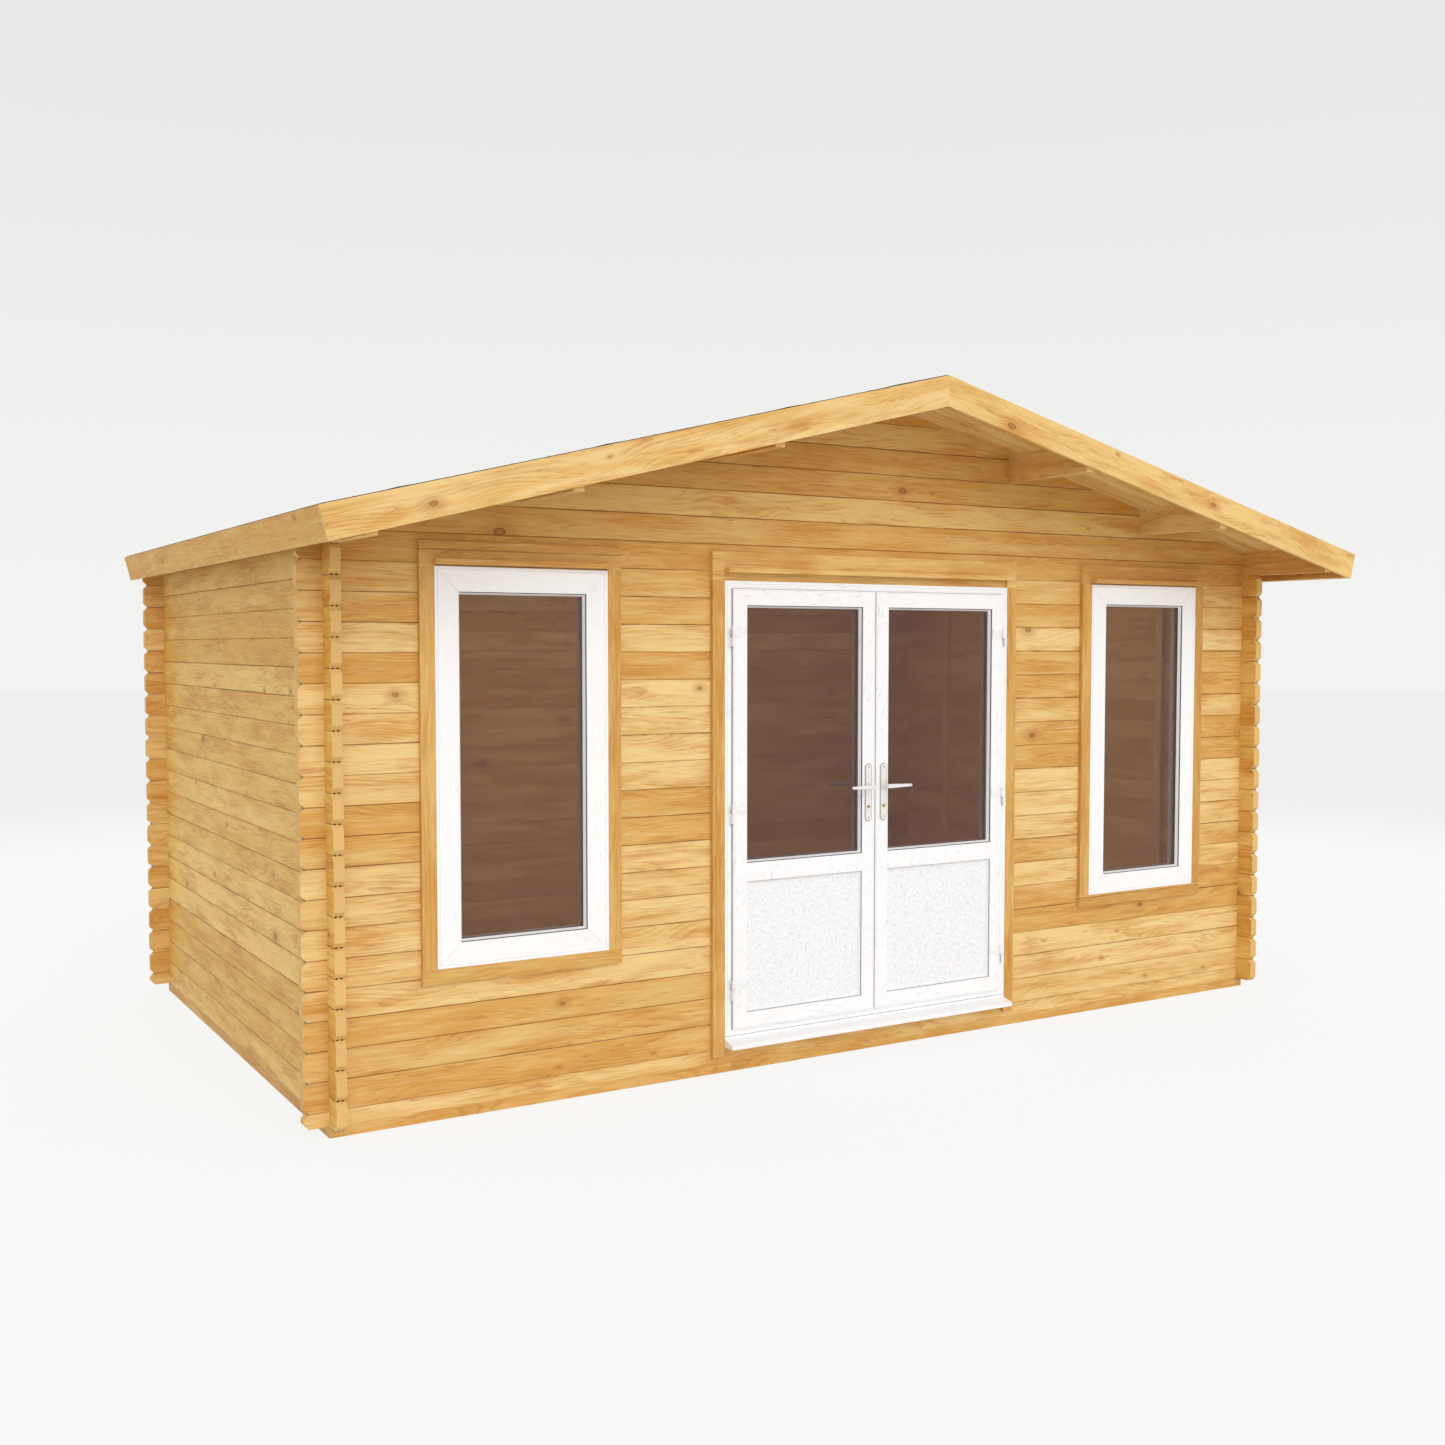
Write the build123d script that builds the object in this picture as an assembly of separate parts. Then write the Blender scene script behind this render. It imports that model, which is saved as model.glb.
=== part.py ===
from build123d import *
import math
import os

# Log cabin with a double door and two tall windows, in millimetres.
# +X is to the right of the door, +Y towards the back and +Z up.
# The origin is on the ground, under the middle of the roof.

OUT = "parts"
PAST = 1.0  # how far a cut runs past the face that it opens

# Logs and courses
LOG = 40.0  # thickness of every wall log
PITCH = 114.0  # height of one log, which is one course
HALF = PITCH / 2
NOTCH = PITCH / 4  # depth of the saddle cut in the top and bottom of a log
BEARER = 45.0  # height of the bearers that the first course lies on
WALL_COURSES = 19  # full logs in a side wall
LOG_END = 96.0  # how far a log runs on past the wall that it crosses
END_CHAMFER = 20.0
GROOVE = 3.0  # depth and half height of the V between two logs

# Upright battens on the inner faces of the side walls
BATTEN_WIDE = 46.0
BATTEN_DEEP = 30.0
BATTEN_FROM_FRONT = 553.0  # outer face of the front wall to the middle of a batten
BATTEN_FROM_BACK = 461.0
BATTEN_TOP = 2300.0

# Plan of the cabin
WIDTH = 5000.0  # over the outer faces of the side walls
DEPTH = 2890.0  # over the outer faces of the front and back walls
FRONT_OVERHANG = 535.0
BACK_OVERHANG = 97.0
SIDE_OVERHANG = 167.0  # from the wall face to the top corner of the eaves

# Roof
SLOPE = math.radians(14.0)
ROOF_BOARD = 19.0
ROOF_BOARD_PITCH = 96.0
BOARD_GROOVE = 2.5
FASCIA = 125.0
FASCIA_THICK = 19.0
FELT = 3.0
FELT_IN = 12.0  # faces of the fascia boards to the edges of the felt
EAVE_LOG = 120.0  # height of the top log along each side, at its middle
PURLIN = 44.0
PURLIN_HIGH = 125.0
PURLIN_FROM_MIDDLE = (832.0, 1707.0)  # upper and lower purlin of a slope

# Openings in the front wall
WINDOW_WIDE = 735.0
WINDOW_LOW = 594.0
WINDOW_TOP = 2141.0
WINDOW_FROM_MIDDLE = 1709.0  # middle of the cabin to the middle of a window
DOOR_WIDE = 1572.0
DOOR_LOW = 148.0
DOOR_TOP = 2114.0
OPENING_TOP = 2154.0  # underside of the log that runs over the door

# White frames
PROUD = 22.0  # how far the frames stand out of the wall
FRAME_DEEP = 70.0
WINDOW_FACE = 96.0
BEAD = 10.0
BEAD_DEEP = 20.0
GLASS = 24.0  # a sealed double pane
REBATE = 5.0  # how far a pane reaches behind its beads
DOOR_FACE = 66.0

# Door leaves
LEAF_GAP = 6.0  # between the two leaves, and from a leaf to its frame
SHOW = 34.0  # width of door frame that shows around the leaves
LIP = 7.0  # thickness of the lip that laps over the frame
LEAF_DEEP = 70.0
LEAF_PROUD = 34.0
STILE = 69.0
RAIL_LOW = 825.0  # lower edge of the middle rail, at the panel
RAIL_HIGH = 905.0  # upper edge of the middle rail, at the glass
LOCK_BORE = 8.0
ROUND = 12  # sides of a small bore

# Hinges
PIN_OFF = 10.0  # hinge axis in front of the face of the leaf
PIN_IN = 5.0  # hinge axis outside the edge of the leaf's lip
KNUCKLE = 8.0
HINGE_LEVELS = (361.0, 1120.0, 1876.0)
HINGE_HIGH = 84.0
WING_IN = 4.0  # edge of the lip to the edge of the wing
WING_WIDE = 62.0
WING_THICK = 4.0
NECK_IN = 12.0  # edge of the lip to the end of the bent neck
FOOT_IN = 1.0
KNUCKLE_GAP = 0.5

# Handles
PLATE_WIDE = 36.0
PLATE_HIGH = 262.0
PLATE_THICK = 8.0
PLATE_MIDDLE = 1179.0
PLATE_FROM_GAP = 42.0
LEVER_LEVEL = 1207.0
LEVER_LONG = 125.0  # axis to the tip
LEVER_HEEL = 13.0  # axis to the other end
LEVER_HIGH = 20.0
LEVER_THICK = 15.0
LEVER_TIP_HIGH = 13.0
LEVER_TIP_THICK = 9.0
LEVER_EDGE = 0.3  # share of the section that its cut corners take
LEVER_OFF = 48.0  # face of the plate to the middle of the lever
LEVER_GAP = 0.5
NECK = 9.0
SPINDLE = 8.0
CYLINDER_BELOW = 92.0
CYLINDER_R = 8.5
CYLINDER_PROUD = 2.0

# Trim
TRIM = 60.0
TRIM_THICK = 20.0
HEAD_TRIM = 88.0
HEAD_LOW = 2148.0
DRIP = 19.0  # thickness of the drip boards, which lie against the foot of the head boards
DRIP_OUT = 62.0
DRIP_PAST = 8.0  # how far a window's drip board runs past its frame
SILL_OUT = 62.0
SILL_HIGH = 34.0

# Floor
FLOOR_BOARD = 26.0
JOISTS = 9
JOIST_WIDE = 45.0

# Places worked out from the driving dimensions
MID_Y = (DEPTH + BACK_OVERHANG - FRONT_OVERHANG) / 2
FRONT = -MID_Y  # outer face of the front wall
BACK = DEPTH - MID_Y
SIDE = WIDTH / 2
BARGE_FRONT = FRONT - FRONT_OVERHANG
BARGE_BACK = BACK + BACK_OVERHANG
SIDE_JOINT = BEARER + PITCH  # first joint of the side walls
END_JOINT = BEARER + HALF  # first joint of the front and back walls
WALL_TOP = BEARER + WALL_COURSES * PITCH
UNDER_AT_LOG = WALL_TOP + EAVE_LOG
UNDER_RIDGE = UNDER_AT_LOG + (SIDE - LOG / 2) * math.tan(SLOPE)
EAVE_RUN = (SIDE + SIDE_OVERHANG) / math.cos(SLOPE) - ROOF_BOARD * math.tan(SLOPE)
LEAF_FACE = FRONT - LEAF_PROUD
PIN_Y = LEAF_FACE - PIN_OFF
HALF_DOOR = DOOR_WIDE / 2
LIP_X = HALF_DOOR - SHOW
LIP_Z = (DOOR_LOW + SHOW + LEAF_GAP, DOOR_TOP - SHOW)
PIN_X = LIP_X + PIN_IN


def block(x, y, z):
    """Box between two planes along each axis."""
    size = (x[1] - x[0], y[1] - y[0], z[1] - z[0])
    middle = ((x[0] + x[1]) / 2, (y[0] + y[1]) / 2, (z[0] + z[1]) / 2)
    return Pos(*middle) * Box(*size)


def prism_y(points, y):
    """Prism along Y over an outline drawn in X and Z."""
    outline = make_face(Polyline(*[(px, y[0], pz) for px, pz in points], close=True))
    return extrude(outline, amount=y[1] - y[0], dir=(0, 1, 0))


def prism_x(points, x):
    """Prism along X over an outline drawn in Y and Z."""
    outline = make_face(Polyline(*[(x[0], py, pz) for py, pz in points], close=True))
    return extrude(outline, amount=x[1] - x[0], dir=(1, 0, 0))


def save(shape, node):
    """Write one piece of the cabin under its own name."""
    export_step(shape, f"{OUT}/{node}.step")


def mirrored(shape):
    """The same piece on the other side of the cabin."""
    return mirror(shape, about=Plane.YZ)


def joints_between(first, low, high):
    """Levels of the joints between courses that lie inside a wall piece."""
    count = int((high - first) / PITCH) + 2
    levels = [first + PITCH * k for k in range(-1, count)]
    return [z for z in levels if low + PAST < z < high - PAST]


def under_roof(x):
    """Level of the underside of the roof boards at a distance from the middle."""
    return UNDER_RIDGE - abs(x) * math.tan(SLOPE)


def toothed_end(tip, inward, low, high, joints):
    """Corners of a wall's end, where each log has its two corners cut off."""
    edges = [low] + joints + [high]
    points = []
    for z0, z1 in zip(edges[:-1], edges[1:]):
        points.append((tip + inward * END_CHAMFER, z0))
        points.append((tip, z0 + END_CHAMFER))
        points.append((tip, z1 - END_CHAMFER))
        points.append((tip + inward * END_CHAMFER, z1))
    return [p for i, p in enumerate(points) if i == 0 or p != points[i - 1]]


def grooves(prism, length, face, way, joints):
    """V grooves at the joints of an outer face; way is +1 or -1, into the log."""
    cuts = []
    for z in joints:
        outline = [(face, z - GROOVE), (face + way * GROOVE, z), (face, z + GROOVE)]
        cuts.append(prism(outline, length))
    return cuts


def saddle_levels(first, low, high):
    """Where a crossing log passes: the middle half of each of its courses."""
    count = int((high - first) / PITCH) + 2
    levels = []
    for k in range(-2, count):
        z0 = first + PITCH * k + NOTCH
        z1 = z0 + HALF
        if z1 > low and z0 < high:
            levels.append((max(z0, low - PAST), min(z1, high + PAST)))
    return levels


def end_wall_panel(x, y, low, high, left_end, right_end):
    """Stacked logs along X; an end that crosses a side wall is toothed and notched."""
    joints = joints_between(END_JOINT, low, high)
    tip_left = x[0] - LOG_END if left_end else x[0]
    tip_right = x[1] + LOG_END if right_end else x[1]
    left = [(tip_left, low), (tip_left, high)]
    right = [(tip_right, low), (tip_right, high)]
    if left_end:
        left = toothed_end(tip_left, 1, low, high, joints)
    if right_end:
        right = toothed_end(tip_right, -1, low, high, joints)
    panel = prism_y(left + right[::-1], y)
    outer, way = outer_face(y)
    cuts = grooves(prism_x, (tip_left - PAST, tip_right + PAST), outer, way, joints)
    through = (y[0] - PAST, y[1] + PAST)
    for z in saddle_levels(SIDE_JOINT, low, high):
        if left_end:
            cuts.append(block((x[0], x[0] + LOG), through, z))
        if right_end:
            cuts.append(block((x[1] - LOG, x[1]), through, z))
    return panel - cuts


def outer_face(y):
    """Outer face of the front or back wall, and the way into its logs."""
    if y[0] < 0:
        return y[0], 1
    return y[1], -1


def side_wall():
    """Left wall: full logs on the bearer, notched where the end walls pass."""
    low, high = BEARER, WALL_TOP
    joints = joints_between(SIDE_JOINT, low, high)
    near = toothed_end(FRONT - LOG_END, 1, low, high, joints)
    far = toothed_end(BACK + LOG_END, -1, low, high, joints)
    x = (-SIDE, -SIDE + LOG)
    wall = prism_x(near + far[::-1], x)
    length = (FRONT - LOG_END - PAST, BACK + LOG_END + PAST)
    cuts = grooves(prism_y, length, x[0], 1, joints)
    through = (x[0] - PAST, x[1] + PAST)
    for z in saddle_levels(END_JOINT, low, high) + [(BEARER - PAST, BEARER + NOTCH)]:
        cuts.append(block(through, (FRONT, FRONT + LOG), z))
        cuts.append(block(through, (BACK - LOG, BACK), z))
    return wall - cuts


def wall_battens():
    """Two upright battens that hold the logs of the left wall in line."""
    x = (-SIDE + LOG, -SIDE + LOG + BATTEN_DEEP)
    z = (BEARER + FLOOR_BOARD, BATTEN_TOP)
    battens = []
    for middle in (FRONT + BATTEN_FROM_FRONT, BACK - BATTEN_FROM_BACK):
        battens.append(block(x, (middle - BATTEN_WIDE / 2, middle + BATTEN_WIDE / 2), z))
    return Compound(battens)


def gable(y):
    """Gable over an end wall: the log over the openings and those cut to the slope."""
    low = OPENING_TOP
    top = low + PITCH
    keep = (low + NOTCH, low + NOTCH + HALF)
    tip = -SIDE - LOG_END
    half_outline = [
        (-SIDE + LOG, low),
        (-SIDE + LOG, keep[0]),
        (-SIDE, keep[0]),
        (-SIDE, low),
        (tip + END_CHAMFER, low),
        (tip, low + END_CHAMFER),
        (tip, top - END_CHAMFER),
        (tip + END_CHAMFER, top),
        (-SIDE, top),
        (-SIDE, keep[1]),
        (-SIDE + LOG, keep[1]),
        (-SIDE + LOG, under_roof(-SIDE + LOG)),
    ]
    outline = half_outline + [(0, UNDER_RIDGE)] + [(-px, pz) for px, pz in half_outline[::-1]]
    joints = joints_between(END_JOINT, low, UNDER_RIDGE)
    outer, way = outer_face(y)
    cuts = grooves(prism_x, (-SIDE, SIDE), outer, way, joints)
    for middle in PURLIN_FROM_MIDDLE:
        for side in (-1, 1):
            x = side * middle
            span = (x - PURLIN / 2, x + PURLIN / 2)
            level = under_roof(x)
            cuts.append(block(span, (y[0] - PAST, y[1] + PAST),
                              (level - PURLIN_HIGH, level + PURLIN)))
    return prism_y(outline, y) - cuts


def roof_log(x, wide, high, y):
    """Log under the roof boards: flat below, with its top planed to the slope."""
    z_low = under_roof(x) - high
    left, right = x - wide / 2, x + wide / 2
    points = [(left, z_low), (right, z_low), (right, under_roof(right)), (left, under_roof(left))]
    return prism_y(points, y)


def eave_log(y):
    """Top log of the left wall, notched below over the logs of the end walls."""
    log = roof_log(-SIDE + LOG / 2, LOG, EAVE_LOG, y)
    cuts = []
    for start in (FRONT, BACK - LOG):
        levels = (WALL_TOP - PAST, WALL_TOP + NOTCH)
        cuts.append(block((-SIDE - PAST, -SIDE + LOG + PAST), (start, start + LOG), levels))
    return log - cuts


def slope_point(run, rise):
    """Point on the left slope: run down from the ridge, rise out of the underside."""
    x = -run * math.cos(SLOPE) - rise * math.sin(SLOPE)
    z = UNDER_RIDGE - run * math.sin(SLOPE) + rise * math.cos(SLOPE)
    return x, z


def ridge_point(rise):
    """Point of a layer at the plumb joint over the ridge."""
    return 0.0, UNDER_RIDGE + rise / math.cos(SLOPE)


def slope_layer(low, high, end, y):
    """Layer of the left slope from the ridge down to a square-cut end."""
    points = [ridge_point(low), slope_point(end, low), slope_point(end, high), ridge_point(high)]
    return prism_y(points, y)


def roof_boards():
    """Left slope of tongued boards, with a V under each joint."""
    y = (BARGE_FRONT + FASCIA_THICK, BARGE_BACK - FASCIA_THICK)
    end = EAVE_RUN - FASCIA_THICK
    deck = slope_layer(0.0, ROOF_BOARD, end, y)
    count = int((y[1] - y[0]) / ROOF_BOARD_PITCH)
    x_top, z_top = slope_point(0.0, 0.0)
    plane = Plane(origin=(x_top, 0, z_top), x_dir=(0, 1, 0),
                  z_dir=(-math.cos(SLOPE), 0, -math.sin(SLOPE)))
    cuts = []
    for k in range(1, count + 1):
        line = y[0] + k * ROOF_BOARD_PITCH
        corners = [(line - BOARD_GROOVE, 0), (line, BOARD_GROOVE), (line + BOARD_GROOVE, 0)]
        way = -1 if plane.y_dir.Z < 0 else 1
        outline = Polyline(*[(u, way * v) for u, v in corners], close=True)
        cuts.append(extrude(plane * make_face(outline), amount=end))
    return deck - cuts


def bargeboard(y):
    """Board along the left slope of a gable, with a plumb joint at the ridge."""
    return slope_layer(ROOF_BOARD - FASCIA, ROOF_BOARD, EAVE_RUN, y)


def eaves_board():
    """Board along the left eaves, square to the slope."""
    start = EAVE_RUN - FASCIA_THICK
    points = [
        slope_point(start, ROOF_BOARD - FASCIA),
        slope_point(EAVE_RUN, ROOF_BOARD - FASCIA),
        slope_point(EAVE_RUN, ROOF_BOARD),
        slope_point(start, ROOF_BOARD),
    ]
    return prism_y(points, (BARGE_FRONT + FASCIA_THICK, BARGE_BACK - FASCIA_THICK))


def roof_felt():
    """Felt over both slopes, with its edges on the fascia boards."""
    end = EAVE_RUN - FELT_IN
    left = [ridge_point(ROOF_BOARD), slope_point(end, ROOF_BOARD),
            slope_point(end, ROOF_BOARD + FELT), ridge_point(ROOF_BOARD + FELT)]
    right = [(-px, pz) for px, pz in left]
    outline = [left[0], left[1], left[2], left[3], right[2], right[1]]
    return prism_y(outline, (BARGE_FRONT + FELT_IN, BARGE_BACK - FELT_IN))


def ring(x, y, z, face):
    """Rectangular frame with straight sides of one width."""
    inner = block((x[0] + face, x[1] - face), (y[0] - PAST, y[1] + PAST),
                  (z[0] + face, z[1] - face))
    return block(x, y, z) - inner


def beaded_ring(x, y, z, face, glass_y):
    """Frame with a bead that slopes back to the glass on all four sides."""
    body = block(x, y, z)
    wide, high = x[1] - x[0] - 2 * face, z[1] - z[0] - 2 * face
    middle = ((x[0] + x[1]) / 2, (z[0] + z[1]) / 2)
    front = Plane(origin=(middle[0], y[0], middle[1]), x_dir=(1, 0, 0), z_dir=(0, 1, 0))
    mouth = front * Rectangle(wide, high)
    seat = front.offset(BEAD_DEEP) * Rectangle(wide - 2 * BEAD, high - 2 * BEAD)
    through = block((x[0] + face + BEAD, x[1] - face - BEAD), (y[0], y[1] + PAST),
                    (z[0] + face + BEAD, z[1] - face - BEAD))
    edge = face - REBATE
    pocket = block((x[0] + edge, x[1] - edge), glass_y, (z[0] + edge, z[1] - edge))
    return body - [loft([mouth, seat]), through, pocket]


def window_parts(name, x):
    """White frame, sealed pane and timber trim of one window."""
    y = (FRONT - PROUD, FRONT - PROUD + FRAME_DEEP)
    z = (WINDOW_LOW, WINDOW_TOP)
    glass_y = (y[0] + BEAD_DEEP, y[0] + BEAD_DEEP + GLASS)
    save(beaded_ring(x, y, z, WINDOW_FACE, glass_y), f"{name}_window_frame")
    pane_edge = WINDOW_FACE - REBATE
    pane = block((x[0] + pane_edge, x[1] - pane_edge), glass_y,
                 (z[0] + pane_edge, z[1] - pane_edge))
    save(pane, f"{name}_window_glass")
    save(window_trim(x, z), f"{name}_window_trim")


def window_trim(x, z):
    """Cover boards around a window, with a drip board over its frame."""
    y = (FRONT - TRIM_THICK, FRONT)
    sides = [block((x[0] - TRIM, x[0]), y, (z[0] - TRIM, HEAD_LOW)),
             block((x[1], x[1] + TRIM), y, (z[0] - TRIM, HEAD_LOW))]
    foot = block(x, y, (z[0] - TRIM, z[0]))
    head = block((x[0] - TRIM, x[1] + TRIM), y, (HEAD_LOW, HEAD_LOW + HEAD_TRIM))
    filler = block(x, (FRONT - TRIM_THICK / 2, FRONT), (z[1], HEAD_LOW))
    drip = drip_board((x[0] - DRIP_PAST, x[1] + DRIP_PAST))
    return head + sides + foot + filler + drip


def door_trim():
    """Cover boards beside and over the door, with a drip board over it."""
    x = (-HALF_DOOR, HALF_DOOR)
    y = (FRONT - TRIM_THICK, FRONT)
    low = BEARER + NOTCH
    sides = [block((x[0] - TRIM, x[0]), y, (low, HEAD_LOW)),
             block((x[1], x[1] + TRIM), y, (low, HEAD_LOW))]
    head = block((x[0] - TRIM, x[1] + TRIM), y, (HEAD_LOW, HEAD_LOW + HEAD_TRIM))
    filler = block(x, (FRONT - TRIM_THICK / 2, FRONT), (DOOR_TOP, HEAD_LOW))
    packing = block(x, (FRONT, FRONT + LOG), (DOOR_TOP, OPENING_TOP))
    return head + sides + filler + packing + drip_board(x)


def drip_board(x):
    """Board that stands out from the foot of a head board and throws rain clear."""
    return block(x, (FRONT - DRIP_OUT, FRONT - TRIM_THICK), (HEAD_LOW, HEAD_LOW + DRIP))


def door_frame():
    """White frame around both leaves, with a raised threshold."""
    y = (FRONT - PROUD, FRONT - PROUD + FRAME_DEEP)
    return ring((-HALF_DOOR, HALF_DOOR), y, (DOOR_LOW, DOOR_TOP), DOOR_FACE)


def door_sill():
    """Sill under the door that falls away to the front."""
    top = DOOR_LOW
    nose = FRONT - PROUD - SILL_OUT
    points = [
        (FRONT - PROUD + FRAME_DEEP, top),
        (FRONT - PROUD, top),
        (nose, top - SILL_HIGH / 2),
        (nose, top - SILL_HIGH),
        (FRONT, top - SILL_HIGH),
        (FRONT, END_JOINT),
        (FRONT + LOG, END_JOINT),
        (FRONT - PROUD + FRAME_DEEP, END_JOINT),
    ]
    return prism_x(points, (-HALF_DOOR, HALF_DOOR))


def leaf():
    """Left leaf: stiles, rails and a lip that laps over the frame."""
    lip_x = (-LIP_X, -LEAF_GAP / 2)
    body_x = (-HALF_DOOR + DOOR_FACE + LEAF_GAP, -LEAF_GAP * 1.5)
    body_z = (DOOR_LOW + DOOR_FACE + LEAF_GAP, DOOR_TOP - DOOR_FACE - LEAF_GAP)
    y = (LEAF_FACE, LEAF_FACE + LEAF_DEEP)
    lip = block(lip_x, (y[0], y[0] + LIP), LIP_Z)
    body = block(body_x, (y[0] + LIP, y[1]), body_z)
    solid = lip + body
    for z in leaf_windows():
        x = (lip_x[0] + STILE, lip_x[1] - STILE)
        solid = solid - leaf_opening(x, y, z)
    through = (y[0] - PAST, y[1] + PAST)
    solid = solid - bore(LOCK_BORE, through, LEVER_LEVEL)
    return solid - bore(CYLINDER_R, through, LEVER_LEVEL - CYLINDER_BELOW)


def bore(radius, y, z):
    """Many-sided bar along Y at the left handle, for a bore or what turns in it."""
    front = Plane(origin=(-PLATE_FROM_GAP, y[0], z), x_dir=(1, 0, 0), z_dir=(0, 1, 0))
    return extrude(front * RegularPolygon(radius, ROUND), amount=y[1] - y[0])


def leaf_windows():
    """Levels of the lower panel and the glass, at the front of their beads."""
    return [(LIP_Z[0] + STILE, RAIL_LOW), (RAIL_HIGH, LIP_Z[1] - STILE)]


def leaf_opening(x, y, z):
    """Cut for a pane: a mouth that slopes back, a pocket and a way through."""
    wide, high = x[1] - x[0], z[1] - z[0]
    front = Plane(origin=((x[0] + x[1]) / 2, y[0], (z[0] + z[1]) / 2), x_dir=(1, 0, 0),
                  z_dir=(0, 1, 0))
    mouth = front * Rectangle(wide, high)
    seat = front.offset(BEAD_DEEP) * Rectangle(wide - 2 * BEAD, high - 2 * BEAD)
    through = block((x[0] + BEAD, x[1] - BEAD), (y[0], y[1] + PAST), (z[0] + BEAD, z[1] - BEAD))
    pocket = pane_block(x, y, z)
    return loft([mouth, seat]) + through + pocket


def pane_block(x, y, z):
    """Pane or panel that sits in the pocket behind the beads."""
    edge = BEAD - REBATE
    pane_y = (y[0] + BEAD_DEEP, y[0] + BEAD_DEEP + GLASS)
    return block((x[0] + edge, x[1] - edge), pane_y, (z[0] + edge, z[1] - edge))


def lock_plates():
    """Rounded plates on both faces of the left leaf, with the lock cylinder."""
    inner = LEAF_FACE + LEAF_DEEP
    plates = []
    for y in ((LEAF_FACE - PLATE_THICK, LEAF_FACE), (inner, inner + PLATE_THICK)):
        front = Plane(origin=(-PLATE_FROM_GAP, y[0], PLATE_MIDDLE), x_dir=(1, 0, 0),
                      z_dir=(0, 1, 0))
        outline = front * SlotOverall(PLATE_HIGH, PLATE_WIDE, rotation=90)
        slab = extrude(outline, amount=PLATE_THICK)
        plates.append(slab - bore(LOCK_BORE, (y[0] - PAST, y[1] + PAST), LEVER_LEVEL))
    out = PLATE_THICK + CYLINDER_PROUD
    barrel = bore(CYLINDER_R, (LEAF_FACE - out, inner + out), LEVER_LEVEL - CYLINDER_BELOW)
    return plates[0] + plates[1] + barrel


def levers():
    """Left levers: one on each face, joined by the spindle through the leaf."""
    outer = LEAF_FACE - PLATE_THICK
    inner = LEAF_FACE + LEAF_DEEP + PLATE_THICK
    x = -PLATE_FROM_GAP
    half = SPINDLE / 2
    shape = block((x - half, x + half), (outer - LEVER_GAP, inner + LEVER_GAP),
                  (LEVER_LEVEL - half, LEVER_LEVEL + half))
    for face, way in ((outer, -1), (inner, 1)):
        ends = sorted((face + way * LEVER_GAP, face + way * LEVER_OFF))
        shape = shape + bore(NECK, ends, LEVER_LEVEL) + lever_arm(x, face + way * LEVER_OFF)
    return shape


def lever_arm(x, y):
    """Lever that tapers from its heel over the neck to its tip, with cut corners."""
    sections = []
    for place, high, thick in ((x + LEVER_HEEL, LEVER_HIGH, LEVER_THICK),
                               (x - LEVER_HEEL, LEVER_HIGH, LEVER_THICK),
                               (x - LEVER_LONG, LEVER_TIP_HIGH, LEVER_TIP_THICK)):
        plane = Plane(origin=(place, y, LEVER_LEVEL), x_dir=(0, 1, 0), z_dir=(-1, 0, 0))
        sections.append(plane * cut_corner_section(thick, high))
    return loft(sections, ruled=True)


def cut_corner_section(wide, high):
    """Rectangle with its four corners cut off."""
    u, v = wide / 2, high / 2
    cut_u, cut_v = wide * LEVER_EDGE, high * LEVER_EDGE
    corner = [(u, v - cut_v), (u - cut_u, v)]
    points = corner + [(-pu, pv) for pu, pv in corner[::-1]]
    points = points + [(-pu, -pv) for pu, pv in points]
    return make_face(Polyline(*points, close=True))


def knuckle(z):
    """Barrel of a hinge on the axis of the left leaf."""
    return Pos(-PIN_X, PIN_Y, (z[0] + z[1]) / 2) * Cylinder(KNUCKLE, z[1] - z[0])


def leaf_hinges():
    """Wings and upper knuckles of the three hinges of the left leaf."""
    hinges = []
    wing_x = (-LIP_X + WING_IN, -LIP_X + WING_IN + WING_WIDE)
    neck_y = (PIN_Y - WING_THICK, LEAF_FACE - WING_THICK / 2)
    for level in HINGE_LEVELS:
        z = (level, level + HINGE_HIGH / 2)
        wing = block(wing_x, (LEAF_FACE - WING_THICK, LEAF_FACE), z)
        neck = block((-PIN_X, -LIP_X + NECK_IN), neck_y, z)
        hinges.append(wing + neck + knuckle(z))
    return Compound(hinges)


def frame_hinges():
    """Lower knuckles of the left leaf's hinges, on feet fixed to the frame."""
    hinges = []
    for level in HINGE_LEVELS:
        z = (level - HINGE_HIGH / 2, level - KNUCKLE_GAP)
        foot = block((-PIN_X - KNUCKLE, -PIN_X - FOOT_IN), (PIN_Y, FRONT - PROUD), z)
        hinges.append(foot + knuckle(z))
    return Compound(hinges)


def bearers():
    """Bearers on the ground under the four walls."""
    z = (0, BEARER)
    x = (-SIDE, SIDE)
    inner = (-SIDE + LOG, SIDE - LOG)
    save(block(x, (FRONT, FRONT + LOG), z), "front_bearer")
    save(block(x, (BACK - LOG, BACK), z), "back_bearer")
    side = block((-SIDE, -SIDE + LOG), (FRONT + LOG, BACK - LOG), z)
    save(side, "left_bearer")
    save(mirrored(side), "right_bearer")
    return inner


def floor(inner):
    """Floor boards on joists that lie on the ground between the bearers."""
    y = (FRONT + LOG, BACK - LOG)
    boards = block(inner, y, (BEARER, BEARER + FLOOR_BOARD))
    step = (inner[1] - inner[0]) / (JOISTS + 1)
    joists = []
    for k in range(JOISTS):
        x = inner[0] + step * (k + 1)
        joists.append(block((x - JOIST_WIDE / 2, x + JOIST_WIDE / 2), y, (0, BEARER)))
    save(boards + joists, "floor")


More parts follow.
